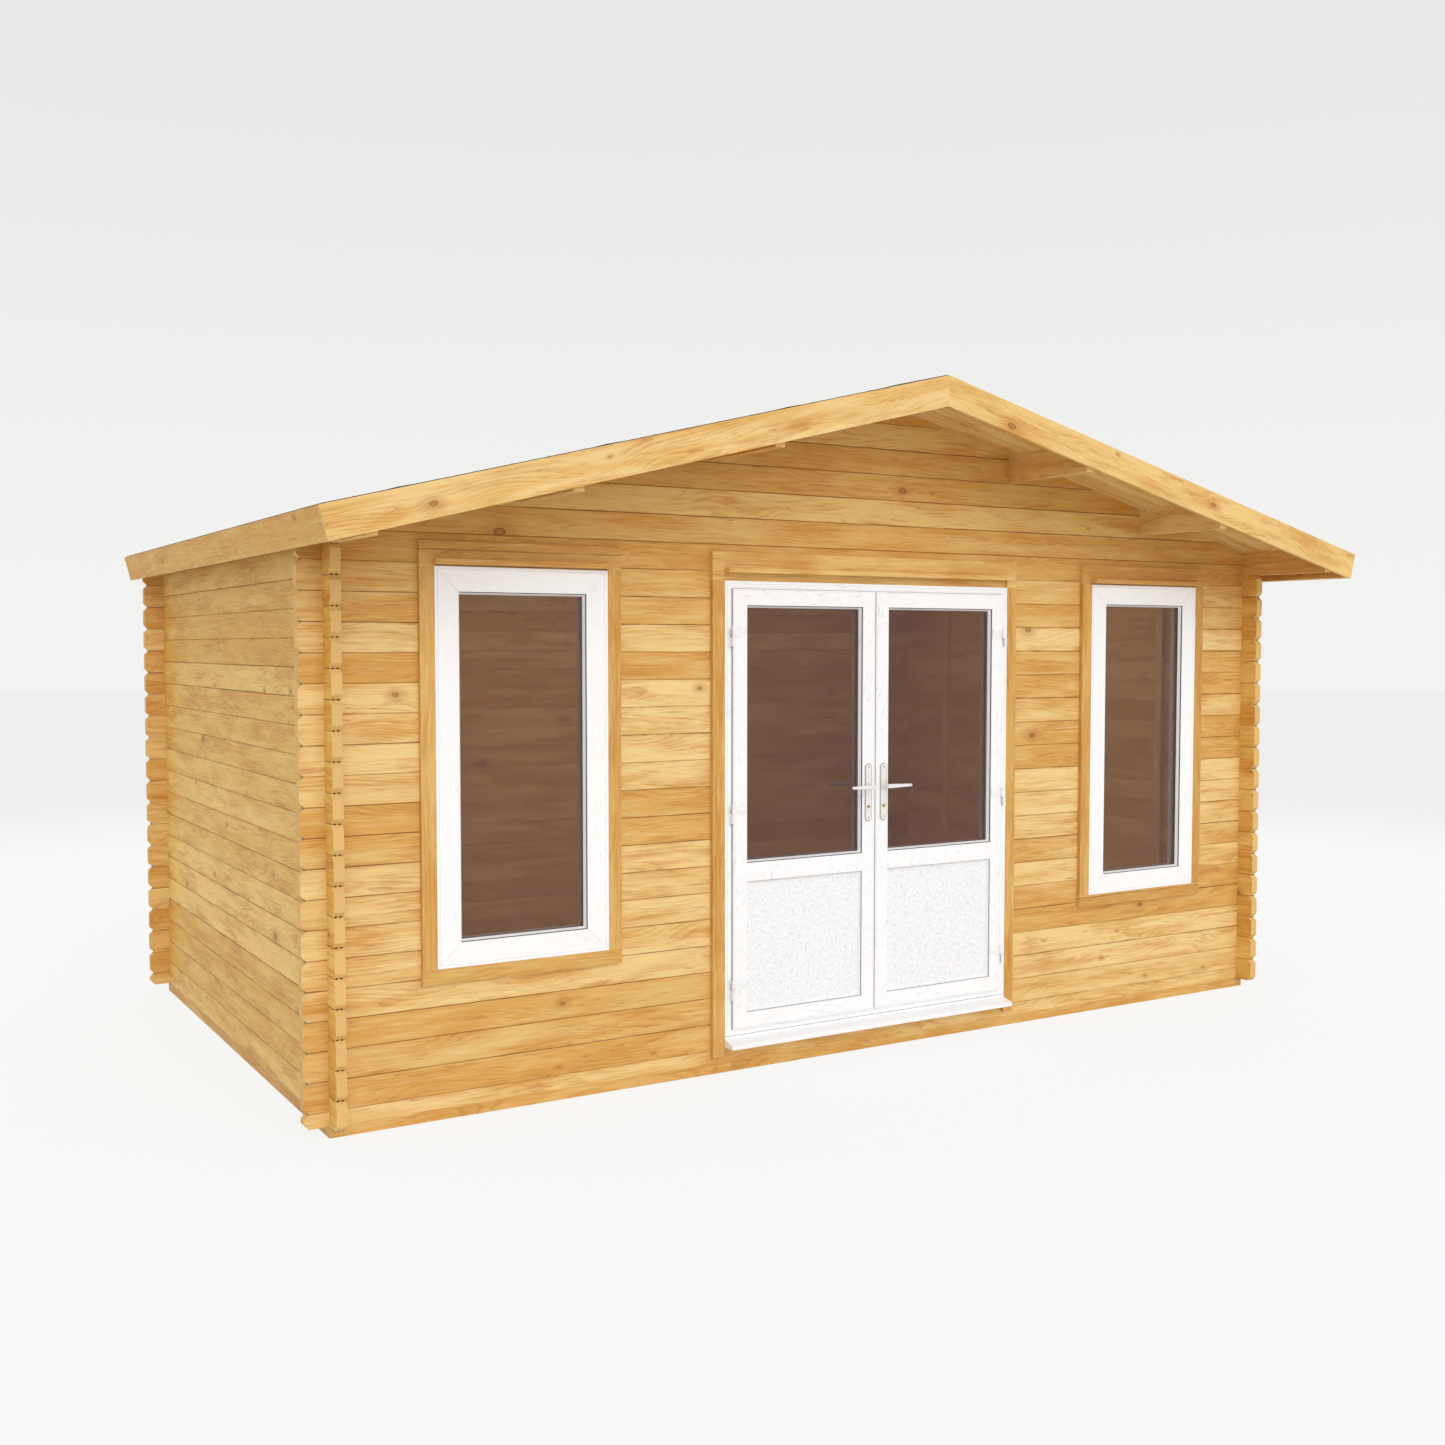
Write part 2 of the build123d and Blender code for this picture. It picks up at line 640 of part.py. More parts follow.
def walls():
    """All walls of stacked logs."""
    front_y = (FRONT, FRONT + LOG)
    back_y = (BACK - LOG, BACK)
    span = (-SIDE, SIDE)
    save(end_wall_panel(span, front_y, BEARER, END_JOINT, True, True), "front_sill_log")
    beside = end_wall_panel((-SIDE, -HALF_DOOR), front_y, END_JOINT, OPENING_TOP, True, False)
    x = window_span()
    hole = block(x, (FRONT - PAST, FRONT + LOG + PAST), (WINDOW_LOW, WINDOW_TOP))
    save(beside - hole, "front_wall_left")
    save(mirrored(beside - hole), "front_wall_right")
    save(end_wall_panel(span, back_y, BEARER, OPENING_TOP, True, True), "back_wall")
    save(side_wall(), "left_wall")
    save(mirrored(side_wall()), "right_wall")
    save(wall_battens(), "left_wall_battens")
    save(mirrored(wall_battens()), "right_wall_battens")
    save(gable(front_y), "front_gable")
    save(gable(back_y), "back_gable")


def window_span():
    """Left window from side to side."""
    return (-WINDOW_FROM_MIDDLE - WINDOW_WIDE / 2, -WINDOW_FROM_MIDDLE + WINDOW_WIDE / 2)


def roof():
    """Purlins, boards, felt and fascia boards."""
    y = (BARGE_FRONT + FASCIA_THICK, BARGE_BACK - FASCIA_THICK)
    pairs = {
        "eave_log": eave_log(y),
        "upper_purlin": roof_log(-PURLIN_FROM_MIDDLE[0], PURLIN, PURLIN_HIGH, y),
        "lower_purlin": roof_log(-PURLIN_FROM_MIDDLE[1], PURLIN, PURLIN_HIGH, y),
        "roof_boards": roof_boards(),
        "front_bargeboard": bargeboard((BARGE_FRONT, BARGE_FRONT + FASCIA_THICK)),
        "back_bargeboard": bargeboard((BARGE_BACK - FASCIA_THICK, BARGE_BACK)),
        "eaves_board": eaves_board(),
    }
    for name, shape in pairs.items():
        save(shape, f"left_{name}")
        save(mirrored(shape), f"right_{name}")
    save(roof_felt(), "roof_felt")


def windows():
    """Both windows, the right one on the other side of the middle."""
    left = window_span()
    window_parts("left", left)
    window_parts("right", (-left[1], -left[0]))


def doors():
    """Frame, sill, trim and both leaves of the door with their furniture."""
    save(door_frame(), "door_frame")
    save(door_sill(), "door_sill")
    save(door_trim(), "door_trim")
    hinges = frame_hinges()
    save(Compound(hinges.solids() + mirrored(hinges).solids()), "frame_hinges")
    x = (-LIP_X + STILE, -LEAF_GAP / 2 - STILE)
    y = (LEAF_FACE, LEAF_FACE + LEAF_DEEP)
    panel_z, glass_z = leaf_windows()
    pieces = {
        "door_leaf": leaf(),
        "door_panel": pane_block(x, y, panel_z),
        "door_glass": pane_block(x, y, glass_z),
        "door_hinges": leaf_hinges(),
        "lock_plates": lock_plates(),
        "door_levers": levers(),
    }
    for name, shape in pieces.items():
        save(shape, f"left_{name}")
        save(mirrored(shape), f"right_{name}")


def main():
    """Make every piece of the cabin."""
    os.makedirs(OUT, exist_ok=True)
    floor(bearers())
    walls()
    roof()
    windows()
    doors()


main()
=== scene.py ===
import logging
import math
from dataclasses import dataclass
from enum import Enum
from typing import Any, Callable, Optional, Sequence, Union

import bmesh
import bpy
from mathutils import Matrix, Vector


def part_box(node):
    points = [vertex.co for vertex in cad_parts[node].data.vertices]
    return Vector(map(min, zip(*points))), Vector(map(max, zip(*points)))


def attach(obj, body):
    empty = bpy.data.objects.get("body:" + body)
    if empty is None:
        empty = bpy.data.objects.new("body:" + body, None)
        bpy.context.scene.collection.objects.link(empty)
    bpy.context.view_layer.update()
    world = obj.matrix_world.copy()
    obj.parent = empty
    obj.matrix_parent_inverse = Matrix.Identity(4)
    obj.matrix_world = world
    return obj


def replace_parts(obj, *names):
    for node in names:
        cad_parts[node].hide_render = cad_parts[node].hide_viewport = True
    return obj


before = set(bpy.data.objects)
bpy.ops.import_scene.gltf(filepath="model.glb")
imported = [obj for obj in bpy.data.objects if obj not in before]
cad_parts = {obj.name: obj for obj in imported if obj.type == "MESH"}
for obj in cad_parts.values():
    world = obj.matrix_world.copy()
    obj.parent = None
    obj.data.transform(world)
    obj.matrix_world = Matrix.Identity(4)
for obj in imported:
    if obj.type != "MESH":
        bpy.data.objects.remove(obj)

LOG = logging.getLogger("cabin")

Colour = tuple[float, float, float]
Point = tuple[float, float, float]
Span = tuple[float, float]
Socket = bpy.types.NodeSocket
Number = Union[float, "Value"]
Work = bmesh.types.BMesh


def spans(node: str) -> tuple[Span, Span, Span]:
    """Where a CAD node lies at rest, along X, Y and Z."""
    low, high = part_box(node)
    return tuple((low[axis], high[axis]) for axis in range(3))


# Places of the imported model, and sizes that its source gives to what has no box of its own
SIDE_X = spans("right_wall")[0]
FRONT = spans("front_bearer")[1][0]
BACK = spans("back_bearer")[1][1]
BARGE = (spans("left_front_bargeboard")[1][0], spans("left_back_bargeboard")[1][1])
WINDOW_Z = spans("left_window_frame")[2]
DOOR_X, _, DOOR_Z = spans("door_frame")
COURSE = 0.114
END_JOINT = 0.102
SIDE_JOINT = 0.159
SLOPE = math.radians(14.0)
UNDER_RIDGE = 2.9493
EAVE_RUN = 2.7439
ROOF_BOARD = 0.019
BOARD_WIDE = 0.096
FELT = 0.003
HEAD_LOW = 2.148


def tone(red: int, green: int, blue: int) -> Colour:
    """Linear colour from 8-bit screen values.

    Args:
        red, green, blue: channels from 0 to 255.

    Returns:
        The colour as a shader takes it.
    """
    def channel(value: int) -> float:
        """One channel, from screen to linear."""
        part = value / 255
        return part / 12.92 if part <= 0.04045 else ((part + 0.055) / 1.055) ** 2.4
    return channel(red), channel(green), channel(blue)


class Way(Enum):
    """Direction in which a piece of timber runs."""
    ACROSS = "along X"
    DEEP = "along Y, stacked"
    PLANKS = "along Y, side by side"
    UP = "along Z"
    FASCIA = "down the slope, as one board"
    SARKING = "down the slope, side by side"


# Shader maths
def operators(operation: str) -> tuple[Callable[..., "Value"], Callable[..., "Value"]]:
    """Methods of Value that add one Math node.

    Args:
        operation: name of the node's operation.

    Returns:
        The plain method, and the reflected one that puts self last.
    """
    def plain(self: "Value", *others: Number) -> "Value":
        """Self first."""
        return self.math(operation, self, *others)

    def reflected(self: "Value", other: Number) -> "Value":
        """Self last."""
        return self.math(operation, other, self)
    return plain, reflected


class Value:
    """A number that varies over a surface, kept as the socket that carries it."""

    def __init__(self, paint: "Paint", socket: Socket) -> None:
        """Wrap one output socket of a material."""
        self.paint = paint
        self.socket = socket

    def math(self, operation: str, *inputs: Number) -> "Value":
        """Add a Math node.

        Args:
            operation: name of the node's operation.
            inputs: its values in order; self isn't added to them.

        Returns:
            The node's result.
        """
        made = self.paint.node("ShaderNodeMath", {"operation": operation},
                               dict(enumerate(inputs)))
        return Value(self.paint, made.outputs[0])

    __add__, __radd__ = operators("ADD")
    __sub__, __rsub__ = operators("SUBTRACT")
    __mul__, __rmul__ = operators("MULTIPLY")
    __truediv__, __rtruediv__ = operators("DIVIDE")
    __pow__, __rpow__ = operators("POWER")
    __gt__ = operators("GREATER_THAN")[0]
    __lt__ = operators("LESS_THAN")[0]
    __abs__ = operators("ABSOLUTE")[0]
    floor = operators("FLOOR")[0]
    part = operators("FRACT")[0]
    root = operators("SQRT")[0]
    least = operators("MINIMUM")[0]
    most = operators("MAXIMUM")[0]

    def fade(self, start: float, end: float, low: float = 0.0, high: float = 1.0) -> "Value":
        """Smooth step of self.

        Args:
            start, end: where self begins and ends the step; start may be the larger.
            low, high: results at start and at end.

        Returns:
            The stepped value, held at its ends.
        """
        made = self.paint.node(
            "ShaderNodeMapRange", {"interpolation_type": "SMOOTHSTEP"},
            {0: self, 1: min(start, end), 2: max(start, end),
             3: low if start < end else high, 4: high if start < end else low})
        return Value(self.paint, made.outputs[0])


class Paint:
    """The nodes of one material or of the world."""

    def __init__(self, owner: Union[bpy.types.Material, bpy.types.World]) -> None:
        """Start with an empty set of nodes.

        Args:
            owner: the new material or world that they belong to.
        """
        self.owner = owner
        owner.use_nodes = True
        self.tree = owner.node_tree
        self.tree.nodes.clear()

    @classmethod
    def named(cls, name: str) -> "Paint":
        """Start a new material."""
        return cls(bpy.data.materials.new(name))

    def node(self, kind: str, settings: Optional[dict[str, Any]] = None,
             inputs: Optional[dict[Union[int, str], Any]] = None) -> bpy.types.Node:
        """Add one node.

        Args:
            kind: the node's type.
            settings: its own properties, set first.
            inputs: numbers, colours, sockets or Values for its sockets.

        Returns:
            The node.
        """
        made = self.tree.nodes.new(kind)
        for key, value in (settings or {}).items():
            setattr(made, key, value)
        for key, value in (inputs or {}).items():
            socket = made.inputs[key]
            if isinstance(value, Value):
                self.tree.links.new(value.socket, socket)
            elif isinstance(value, bpy.types.NodeSocket):
                self.tree.links.new(value, socket)
            elif socket.type == "RGBA" and len(value) == 3:
                socket.default_value = (*value, 1.0)
            else:
                socket.default_value = value
        return made

    def spot(self) -> Socket:
        """The point on its own piece, in metres."""
        return self.node("ShaderNodeTexCoord").outputs["Object"]

    def place(self) -> tuple[Value, Value, Value]:
        """Coordinates of the point on its own piece, in metres."""
        return self.parts(self.spot())

    def facing(self) -> tuple[Value, Value, Value]:
        """Direction that the surface faces, on its own piece."""
        return self.parts(self.node("ShaderNodeTexCoord").outputs["Normal"])

    def parts(self, vector: Socket) -> tuple[Value, Value, Value]:
        """The three numbers of a vector or colour."""
        made = self.node("ShaderNodeSeparateXYZ", inputs={0: vector})
        return tuple(Value(self, out) for out in made.outputs[:3])

    def vector(self, x: Number, y: Number, z: Number) -> Socket:
        """A vector from three numbers."""
        return self.node("ShaderNodeCombineXYZ", inputs={0: x, 1: y, 2: z}).outputs[0]

    def noise(self, vector: Socket, scale: float, detail: float = 2.0,
              rough: float = 0.5) -> Value:
        """Noise from 0 to 1.

        Args:
            vector: where the noise is read.
            scale: how many bumps there are to a unit.
            detail: how many finer layers are added.
            rough: how strong the finer layers are.

        Returns:
            The noise at the point.
        """
        made = self.node("ShaderNodeTexNoise", {"noise_dimensions": "3D"},
                         {"Vector": vector, "Scale": scale, "Detail": detail,
                          "Roughness": rough})
        return Value(self, made.outputs[0])

    def chance(self, number: Value) -> tuple[Value, Value, Value]:
        """Three fixed random numbers from 0 to 1 for each value of a number."""
        made = self.node("ShaderNodeTexWhiteNoise", {"noise_dimensions": "1D"}, {"W": number})
        return self.parts(made.outputs["Color"])

    def mix(self, share: Number, low: Union[Colour, Socket],
            high: Union[Colour, Socket]) -> Socket:
        """Mix two colours.

        Args:
            share: 0 gives low and 1 gives high.
            low, high: the colours.

        Returns:
            The mixed colour.
        """
        return self.node("ShaderNodeMix", {"data_type": "RGBA"},
                         {0: share, 6: low, 7: high}).outputs[2]

    def layers(self, colour: Union[Colour, Socket],
               *tops: tuple[Number, Union[Colour, Socket]]) -> Socket:
        """Lay colours over one another.

        Args:
            colour: the lowest one.
            tops: the share and the colour of each layer, from below.

        Returns:
            The layered colour.
        """
        for share, top in tops:
            colour = self.mix(share, colour, top)
        return colour

    def shade(self, colour: Union[Colour, Socket], factor: Value) -> Socket:
        """Make a colour lighter or darker by a factor."""
        return self.node("ShaderNodeVectorMath", {"operation": "SCALE"},
                         {0: colour, 3: factor}).outputs[0]

    def bump(self, height: Value, strength: float, distance: float) -> Socket:
        """Normal of a surface with fine relief."""
        return self.node("ShaderNodeBump", inputs={
            "Height": height, "Strength": strength, "Distance": distance}).outputs[0]

    def surface(self, **inputs: Any) -> bpy.types.Material:
        """End the material in a Principled surface.

        Args:
            inputs: its sockets, with an underscore for each space.

        Returns:
            The finished material.
        """
        named = {key.replace("_", " "): value for key, value in inputs.items()}
        shader = self.node("ShaderNodeBsdfPrincipled", inputs=named)
        self.node("ShaderNodeOutputMaterial", inputs={"Surface": shader.outputs[0]})
        return self.owner


TRIM_PALE = tone(229, 189, 115)
TRIM_WARM = tone(212, 158, 77)


# Finishes
@dataclass(frozen=True)
class Timber:
    """Planed pine in boards or logs, each with its own shade, rings and knots.

    pitch is the width of one board across the grain, and first the place of a joint.
    middle is the middle of the piece's thickness. bands name the heights where a piece
    that stands upright has boards along X instead.
    """
    name: str
    way: Way
    seed: float
    pitch: float = COURSE
    first: float = END_JOINT
    middle: float = 0.0
    knots: float = 0.12
    pale: Colour = tone(237, 204, 137)
    warm: Colour = tone(223, 169, 87)
    rich: Colour = tone(210, 149, 70)
    line: Colour = tone(188, 122, 54)
    deep: Colour = tone(158, 92, 38)
    light: Colour = tone(244, 219, 158)
    crack: Colour = tone(98, 56, 28)
    shadow: Colour = tone(118, 66, 26)
    hole_shade: Colour = tone(60, 38, 22)
    bands: tuple[Span, ...] = ()
    channels: bool = False

    def axes(self, paint: Paint) -> tuple[Value, Value, Value, Value]:
        """Coordinates along, across and through the boards, and the end-grain mask.

        Args:
            paint: the material under way.

        Returns:
            Metres along the grain, across the boards and through them, and 1 on end grain.
        """
        x, y, z = paint.place()
        nx, ny, nz = (abs(n) for n in paint.facing())
        if self.way is Way.ACROSS:
            return x, z, y, nx
        if self.way is Way.DEEP:
            return y, z, x, ny
        if self.way is Way.PLANKS:
            return y, x, z, ny
        if self.way is Way.UP:
            level = self._in_bands(z)
            along = x * level + z * (1 - level)
            across = z * level + x * (1 - level)
            return along, across, y, nx * level + nz * (1 - level)
        run = abs(x) * math.cos(SLOPE) - z * math.sin(SLOPE)
        rise = abs(x) * math.sin(SLOPE) + z * math.cos(SLOPE)
        end = nx * math.cos(SLOPE) - nz * math.sin(SLOPE)
        if self.way is Way.SARKING:
            return run, y, rise, end
        return run, rise, y, end

    def _in_bands(self, z: Value) -> Value:
        """Tell heights where the boards run along X from the rest.

        Args:
            z: the height.

        Returns:
            1 in the bands, else 0.
        """
        total = z * 0.0
        for low, high in self.bands:
            total = total + (z > low) * (z < high)
        return total

    def material(self) -> bpy.types.Material:
        """Build the finish.

        Returns:
            The material.
        """
        paint = Paint.named(self.name)
        along, across, through, end = self.axes(paint)
        board = (across - self.first) / self.pitch
        number = board.floor()
        local = (board.part() - 0.5) * self.pitch
        shade, slide, tilt = paint.chance(number * 1.37 + self.seed)
        start = along + slide * 60.0

        def grain(long: float, wide: float, detail: float, side: Value) -> Value:
            """Noise drawn out along the board, by its bumps to a metre each way."""
            spot = paint.vector(start * long, side * wide, through * wide + number * 7.7)
            return paint.noise(spot, 1.0, detail, 0.62)

        sway = grain(1.4, 7.0, 1.0, across)
        wavy = across + (sway - 0.5) * 0.05
        cloud = grain(2.6, 13.0, 3.0, across)
        broad = grain(0.8, 24.0, 2.0, wavy)
        patch = grain(3.6, 20.0, 2.0, wavy)
        strand = grain(6.0, 90.0, 4.0, wavy)
        dash = grain(11.0, 150.0, 3.0, wavy)
        hair = grain(18.0, 420.0, 2.0, wavy)
        gap, knot, halo = self._knots(paint, along, across, slide, strand)
        rings = self._rings(local, tilt, sway, halo, strand)

        share = (broad - 0.5) * 1.7 + (shade - 0.5) * 1.0 + (cloud - 0.5) * 1.6 + 0.55
        stroke = dash.fade(0.58, 0.70) * patch.fade(0.50, 0.66)
        colour = paint.layers(
            paint.mix(share, self.pale, self.warm),
            (cloud.fade(0.50, 0.76) * 0.70, self.rich),
            (strand.fade(0.50, 0.28) * 0.34, self.light),
            (rings * cloud.fade(0.34, 0.60) * 0.60, self.line),
            (strand.fade(0.54, 0.74) * 0.26, self.line),
            (stroke * 0.62, self.deep), (halo * 0.5, self.line), (knot * 0.6, self.deep),
            (gap * 0.7, self.crack))
        colour = paint.shade(colour, hair * 0.10 + 0.95)

        cut = end.fade(0.45, 0.62)
        colour = paint.mix(cut, colour, self._end_grain(paint, local, through, hair))
        colour = paint.shade(colour, (shade - 0.5) * -0.09 + 1.0)
        joint, _, _ = paint.chance((board + 0.5).floor() * 2.11 + self.seed)
        seam, stain = self._seam(local, joint, patch, strand)
        colour = paint.layers(colour, (stain, self.line), (seam, self.shadow))
        # Painted shade: the holes of the double tongue are dark dots standing for the shade
        # inside them.
        if self.channels:
            colour = paint.mix(self._channels(local, through) * cut, colour, self.hole_shade)

        relief = hair * 0.5 + strand * 0.6 - rings * 0.3 - stroke * 0.4 - knot * 0.3
        rough = 0.46 + hair * 0.14 + cut * 0.12
        return paint.surface(Base_Color=colour, Roughness=rough,
                             Normal=paint.bump(relief, 0.25, 0.0008),
                             Specular_IOR_Level=0.3)

    def _seam(self, local: Value, joint: Value, patch: Value,
              strand: Value) -> tuple[Value, Value]:
        """The broken dark line at a joint, and the stain that runs along it.

        Args:
            local: metres from the middle of the board.
            joint: a number from 0 to 1 for each joint, the tighter the lower.
            patch, strand: noises that break the line up.

        Returns:
            Strengths of the line and of the stain.
        """
        edge = self.pitch / 2 - abs(local)
        seam = edge.fade(0.0028, 0.0010) * (strand.fade(0.34, 0.62) * 0.45 + 0.30)
        stain = edge.fade(0.014, 0.0) * patch.fade(0.50, 0.68) * joint * 0.6
        return seam * (joint * 0.75 + 0.45), stain

    def _rings(self, local: Value, tilt: Value, sway: Value, halo: Value,
               strand: Value) -> Value:
        """Year rings on a sawn face, about a pith that wanders past the board.

        Args:
            local: metres from the middle of the board.
            tilt, sway: where the pith runs, by board and along it.
            halo: bends the rings around the knots.
            strand: makes them uneven.

        Returns:
            0 between the rings, rising to 1 at their dark side.
        """
        off = local - (tilt - 0.5) * 0.10 - (sway - 0.5) * 0.20
        far = (off * off + sway * sway * 0.0016).root() + halo * 0.010
        return (far * 78.0 + strand * 1.1).part() ** 2.6

    def _knots(self, paint: Paint, along: Value, across: Value, slide: Value,
               ragged: Value) -> tuple[Value, Value, Value]:
        """Knots, at most one to a cell of a loose grid.

        Args:
            paint: the material under way.
            along, across: metres along the grain and across it.
            slide: moves the grid from board to board.
            ragged: noise that breaks up the outline of a knot.

        Returns:
            Masks of the crack around a knot, the knot and the bent grain about it.
        """
        cell = paint.vector(along * 2.2 + slide * 17.0, across / self.pitch * 0.9, 0.0)
        made = paint.node("ShaderNodeTexVoronoi", {"voronoi_dimensions": "2D"},
                          {"Vector": cell, "Scale": 1.0, "Randomness": 0.9})
        away = paint.node("ShaderNodeVectorMath", {"operation": "SUBTRACT"},
                          {0: cell, 1: made.outputs["Position"]})
        dx, dy, _ = paint.parts(away.outputs[0])
        size, keep, _ = paint.parts(made.outputs["Color"])
        flat = dx * (1 / 2.2) * 0.6
        tall = dy * (self.pitch / 0.9)
        distance = (flat * flat + tall * tall).root() + (ragged - 0.5) * 0.007
        here = keep < self.knots
        ratio = distance / (0.003 + size * size * 0.010)
        knot = ratio.fade(1.5, 0.5) * here
        halo = ratio.fade(5.5, 0.9) * here
        crack = ratio.fade(1.35, 1.05) * ratio.fade(0.7, 1.0) * here * size
        return crack, knot, halo

    def _end_grain(self, paint: Paint, local: Value, through: Value,
                   streak: Value) -> Socket:
        """Colour of a cut end, with rings about a pith near the log's middle.

        Args:
            paint: the material under way.
            local, through: metres from the middle of the board, and through it.
            streak: noise that makes the rings uneven.

        Returns:
            The colour.
        """
        depth = through - self.middle
        centre = (local * local + depth * depth).root()
        rings = (centre * 190.0 + streak * 0.8).part() ** 2.0
        return paint.mix(rings * 0.35, tone(229, 188, 118), tone(196, 142, 74))

    def _channels(self, local: Value, through: Value) -> Value:
        """Two small holes of the double tongue at each joint, seen at the ends, painted dark as
        the shade inside them.

        Args:
            local, through: metres from the middle of the board, and through it.

        Returns:
            1 in the holes, else 0.
        """
        up = self.pitch / 2 - abs(local)
        side = abs(abs(abs(through) - abs(self.middle)) - 0.009)
        return (up * up + side * side).root().fade(0.0042, 0.0030)


@dataclass(frozen=True)
class Felt:
    """Dark mineral roofing felt."""
    name: str = "charcoal_felt"

    def material(self) -> bpy.types.Material:
        """Build the finish with grit, wear and slight waves."""
        paint = Paint.named(self.name)
        spot = paint.spot()
        grit = paint.noise(spot, 620.0, 2.0, 0.7)
        worn = paint.noise(spot, 3.0, 4.0, 0.6)
        speck = paint.node("ShaderNodeTexVoronoi", {}, {"Vector": spot, "Scale": 330.0})
        chips = Value(paint, speck.outputs["Distance"])
        colour = paint.layers(
            tone(46, 47, 50), (grit.fade(0.35, 0.7), tone(92, 93, 96)),
            (chips.fade(0.25, 0.1) * 0.6, tone(128, 128, 130)),
            (worn.fade(0.45, 0.75) * 0.35, tone(104, 102, 98)))
        return paint.surface(Base_Color=colour, Roughness=0.86 + grit * 0.1,
                             Normal=paint.bump(grit + worn * 0.6, 0.5, 0.002),
                             Specular_IOR_Level=0.25)


@dataclass(frozen=True)
class WhiteFoil:
    """White plastic with a fine pressed grain, laid along each member of a frame.

    x and z are the outer sides of the frame and face the width of a member. step is how
    far a shallow step lies inside the outer sides; a grey line painted along it is its
    shade. Where mitred, thin lines cross the corners. mottle is the strength of the pressed
    grain.
    """
    name: str
    x: Span
    z: Span
    face: float
    step: float = 0.012
    mitred: bool = True
    mottle: float = 0.5

    def material(self) -> bpy.types.Material:
        """Build the finish."""
        paint = Paint.named(self.name)
        x, y, z = paint.place()
        mirror_x = abs(x) - abs(self.x[0] + self.x[1]) / 2
        sideways = abs(mirror_x) - (self.x[1] - self.x[0]) / 2
        upright = abs(z - (self.z[0] + self.z[1]) / 2) - (self.z[1] - self.z[0]) / 2
        stands = sideways > upright
        along = z * stands + x * (1 - stands)
        across = x * stands + z * (1 - stands)
        vein = paint.noise(paint.vector(along * 22.0, across * 95.0, y * 95.0), 1.0, 3.0, 0.65)
        grain = paint.noise(paint.spot(), 150.0, 3.0, 0.65)
        drift = paint.noise(paint.spot(), 7.0, 2.0)
        side = sideways.most(upright)
        # Painted shade: a grey line along the shallow step; the same mask also dents the bump.
        step_relief_and_shade = abs(side + self.step).fade(0.0022, 0.0006)
        colour = paint.layers(
            tone(252, 252, 253),
            (vein.fade(0.52, 0.72) * drift.fade(0.35, 0.6) * self.mottle, tone(226, 228, 231)),
            (grain.fade(0.55, 0.72) * self.mottle, tone(230, 232, 235)),
            (step_relief_and_shade * 0.28, tone(176, 178, 182)))
        if self.mitred:
            corner = (sideways > -self.face) * (upright > -self.face) * (side < -0.006)
            mitre = abs(sideways - upright).fade(0.0018, 0.0006) * corner
            colour = paint.mix(mitre * 0.40, colour, tone(150, 152, 156))
        return paint.surface(Base_Color=colour, Roughness=0.32 + vein * 0.14,
                             Normal=paint.bump(vein + grain * 0.7 - step_relief_and_shade, 0.25, 0.0006),
                             Coat_Weight=0.12, Coat_Roughness=0.2)


@dataclass(frozen=True)
class Stipple:
    """White door panel with a pressed stipple, greyed as painted shade of its relief."""
    name: str = "stippled_panel"

    def material(self) -> bpy.types.Material:
        """Build the finish."""
        paint = Paint.named(self.name)
        spot = paint.spot()
        dots = paint.node("ShaderNodeTexVoronoi", {"feature": "SMOOTH_F1"},
                          {"Vector": spot, "Scale": 105.0, "Smoothness": 0.5})
        hump = Value(paint, dots.outputs["Distance"])
        swell = paint.noise(spot, 62.0, 3.0, 0.6)
        swell_shade = swell.fade(0.53, 0.68)
        # Painted shade of the pressed relief: grey in the hollows between the dots, and grey
        # patches where the swell noise is high.
        colour = paint.mix((hump.fade(0.25, 0.6) * 0.35 + swell_shade * 0.5).least(1.0),
                           tone(253, 253, 254), tone(220, 222, 226))
        return paint.surface(Base_Color=colour, Roughness=0.34 + swell * 0.12,
                             Normal=paint.bump(swell - hump * 0.8, 0.45, 0.0020),
                             Coat_Weight=0.1, Coat_Roughness=0.25)


@dataclass(frozen=True)
class BronzeGlass:
    """Brown tinted sheet that shows the room dimly. Its colour is partly the glass's own bronze
    tint and partly painted shade of the dim room behind it. cover is how much each face hides.
    """
    name: str
    tint_and_room_shade: Colour
    cover: float

    def material(self) -> bpy.types.Material:
        """Build the finish with faint streaks left by cleaning."""
        paint = Paint.named(self.name)
        x, y, z = paint.place()
        smear = paint.noise(paint.vector(x * 3.0, y, z * 0.8), 1.6, 3.0, 0.55)
        dust = paint.noise(paint.spot(), 90.0, 2.0)
        # Painted shade: the colour is the glass's tint together with the dim room seen through
        # it.
        colour = paint.shade(self.tint_and_room_shade, smear * 0.12 + 0.94)
        return paint.surface(Base_Color=colour, Roughness=0.04 + smear * 0.03 + dust * 0.015,
                             Alpha=self.cover + smear * 0.02, Specular_IOR_Level=0.4)


@dataclass(frozen=True)
class Metal:
    """Satin metal or paint with a brushed grain along one way."""
    name: str
    colour: Colour
    dark: Colour
    rough: float = 0.3
    metallic: float = 1.0
    grain: Point = (30.0, 700.0, 700.0)

    def material(self) -> bpy.types.Material:
        """Build the finish."""
        paint = Paint.named(self.name)
        x, y, z = paint.place()
        brush = paint.noise(paint.vector(x * self.grain[0], y * self.grain[1],
                                         z * self.grain[2]), 1.0, 2.0)
        worn = paint.noise(paint.spot(), 60.0, 3.0, 0.6)
        colour = paint.mix(brush.fade(0.35, 0.75) * 0.6 + worn.fade(0.5, 0.8) * 0.2,
                           self.colour, self.dark)
        return paint.surface(Base_Color=colour, Metallic=self.metallic,
                             Roughness=self.rough + brush * 0.12 + worn * 0.05,
                             Normal=paint.bump(brush, 0.08, 0.0003))


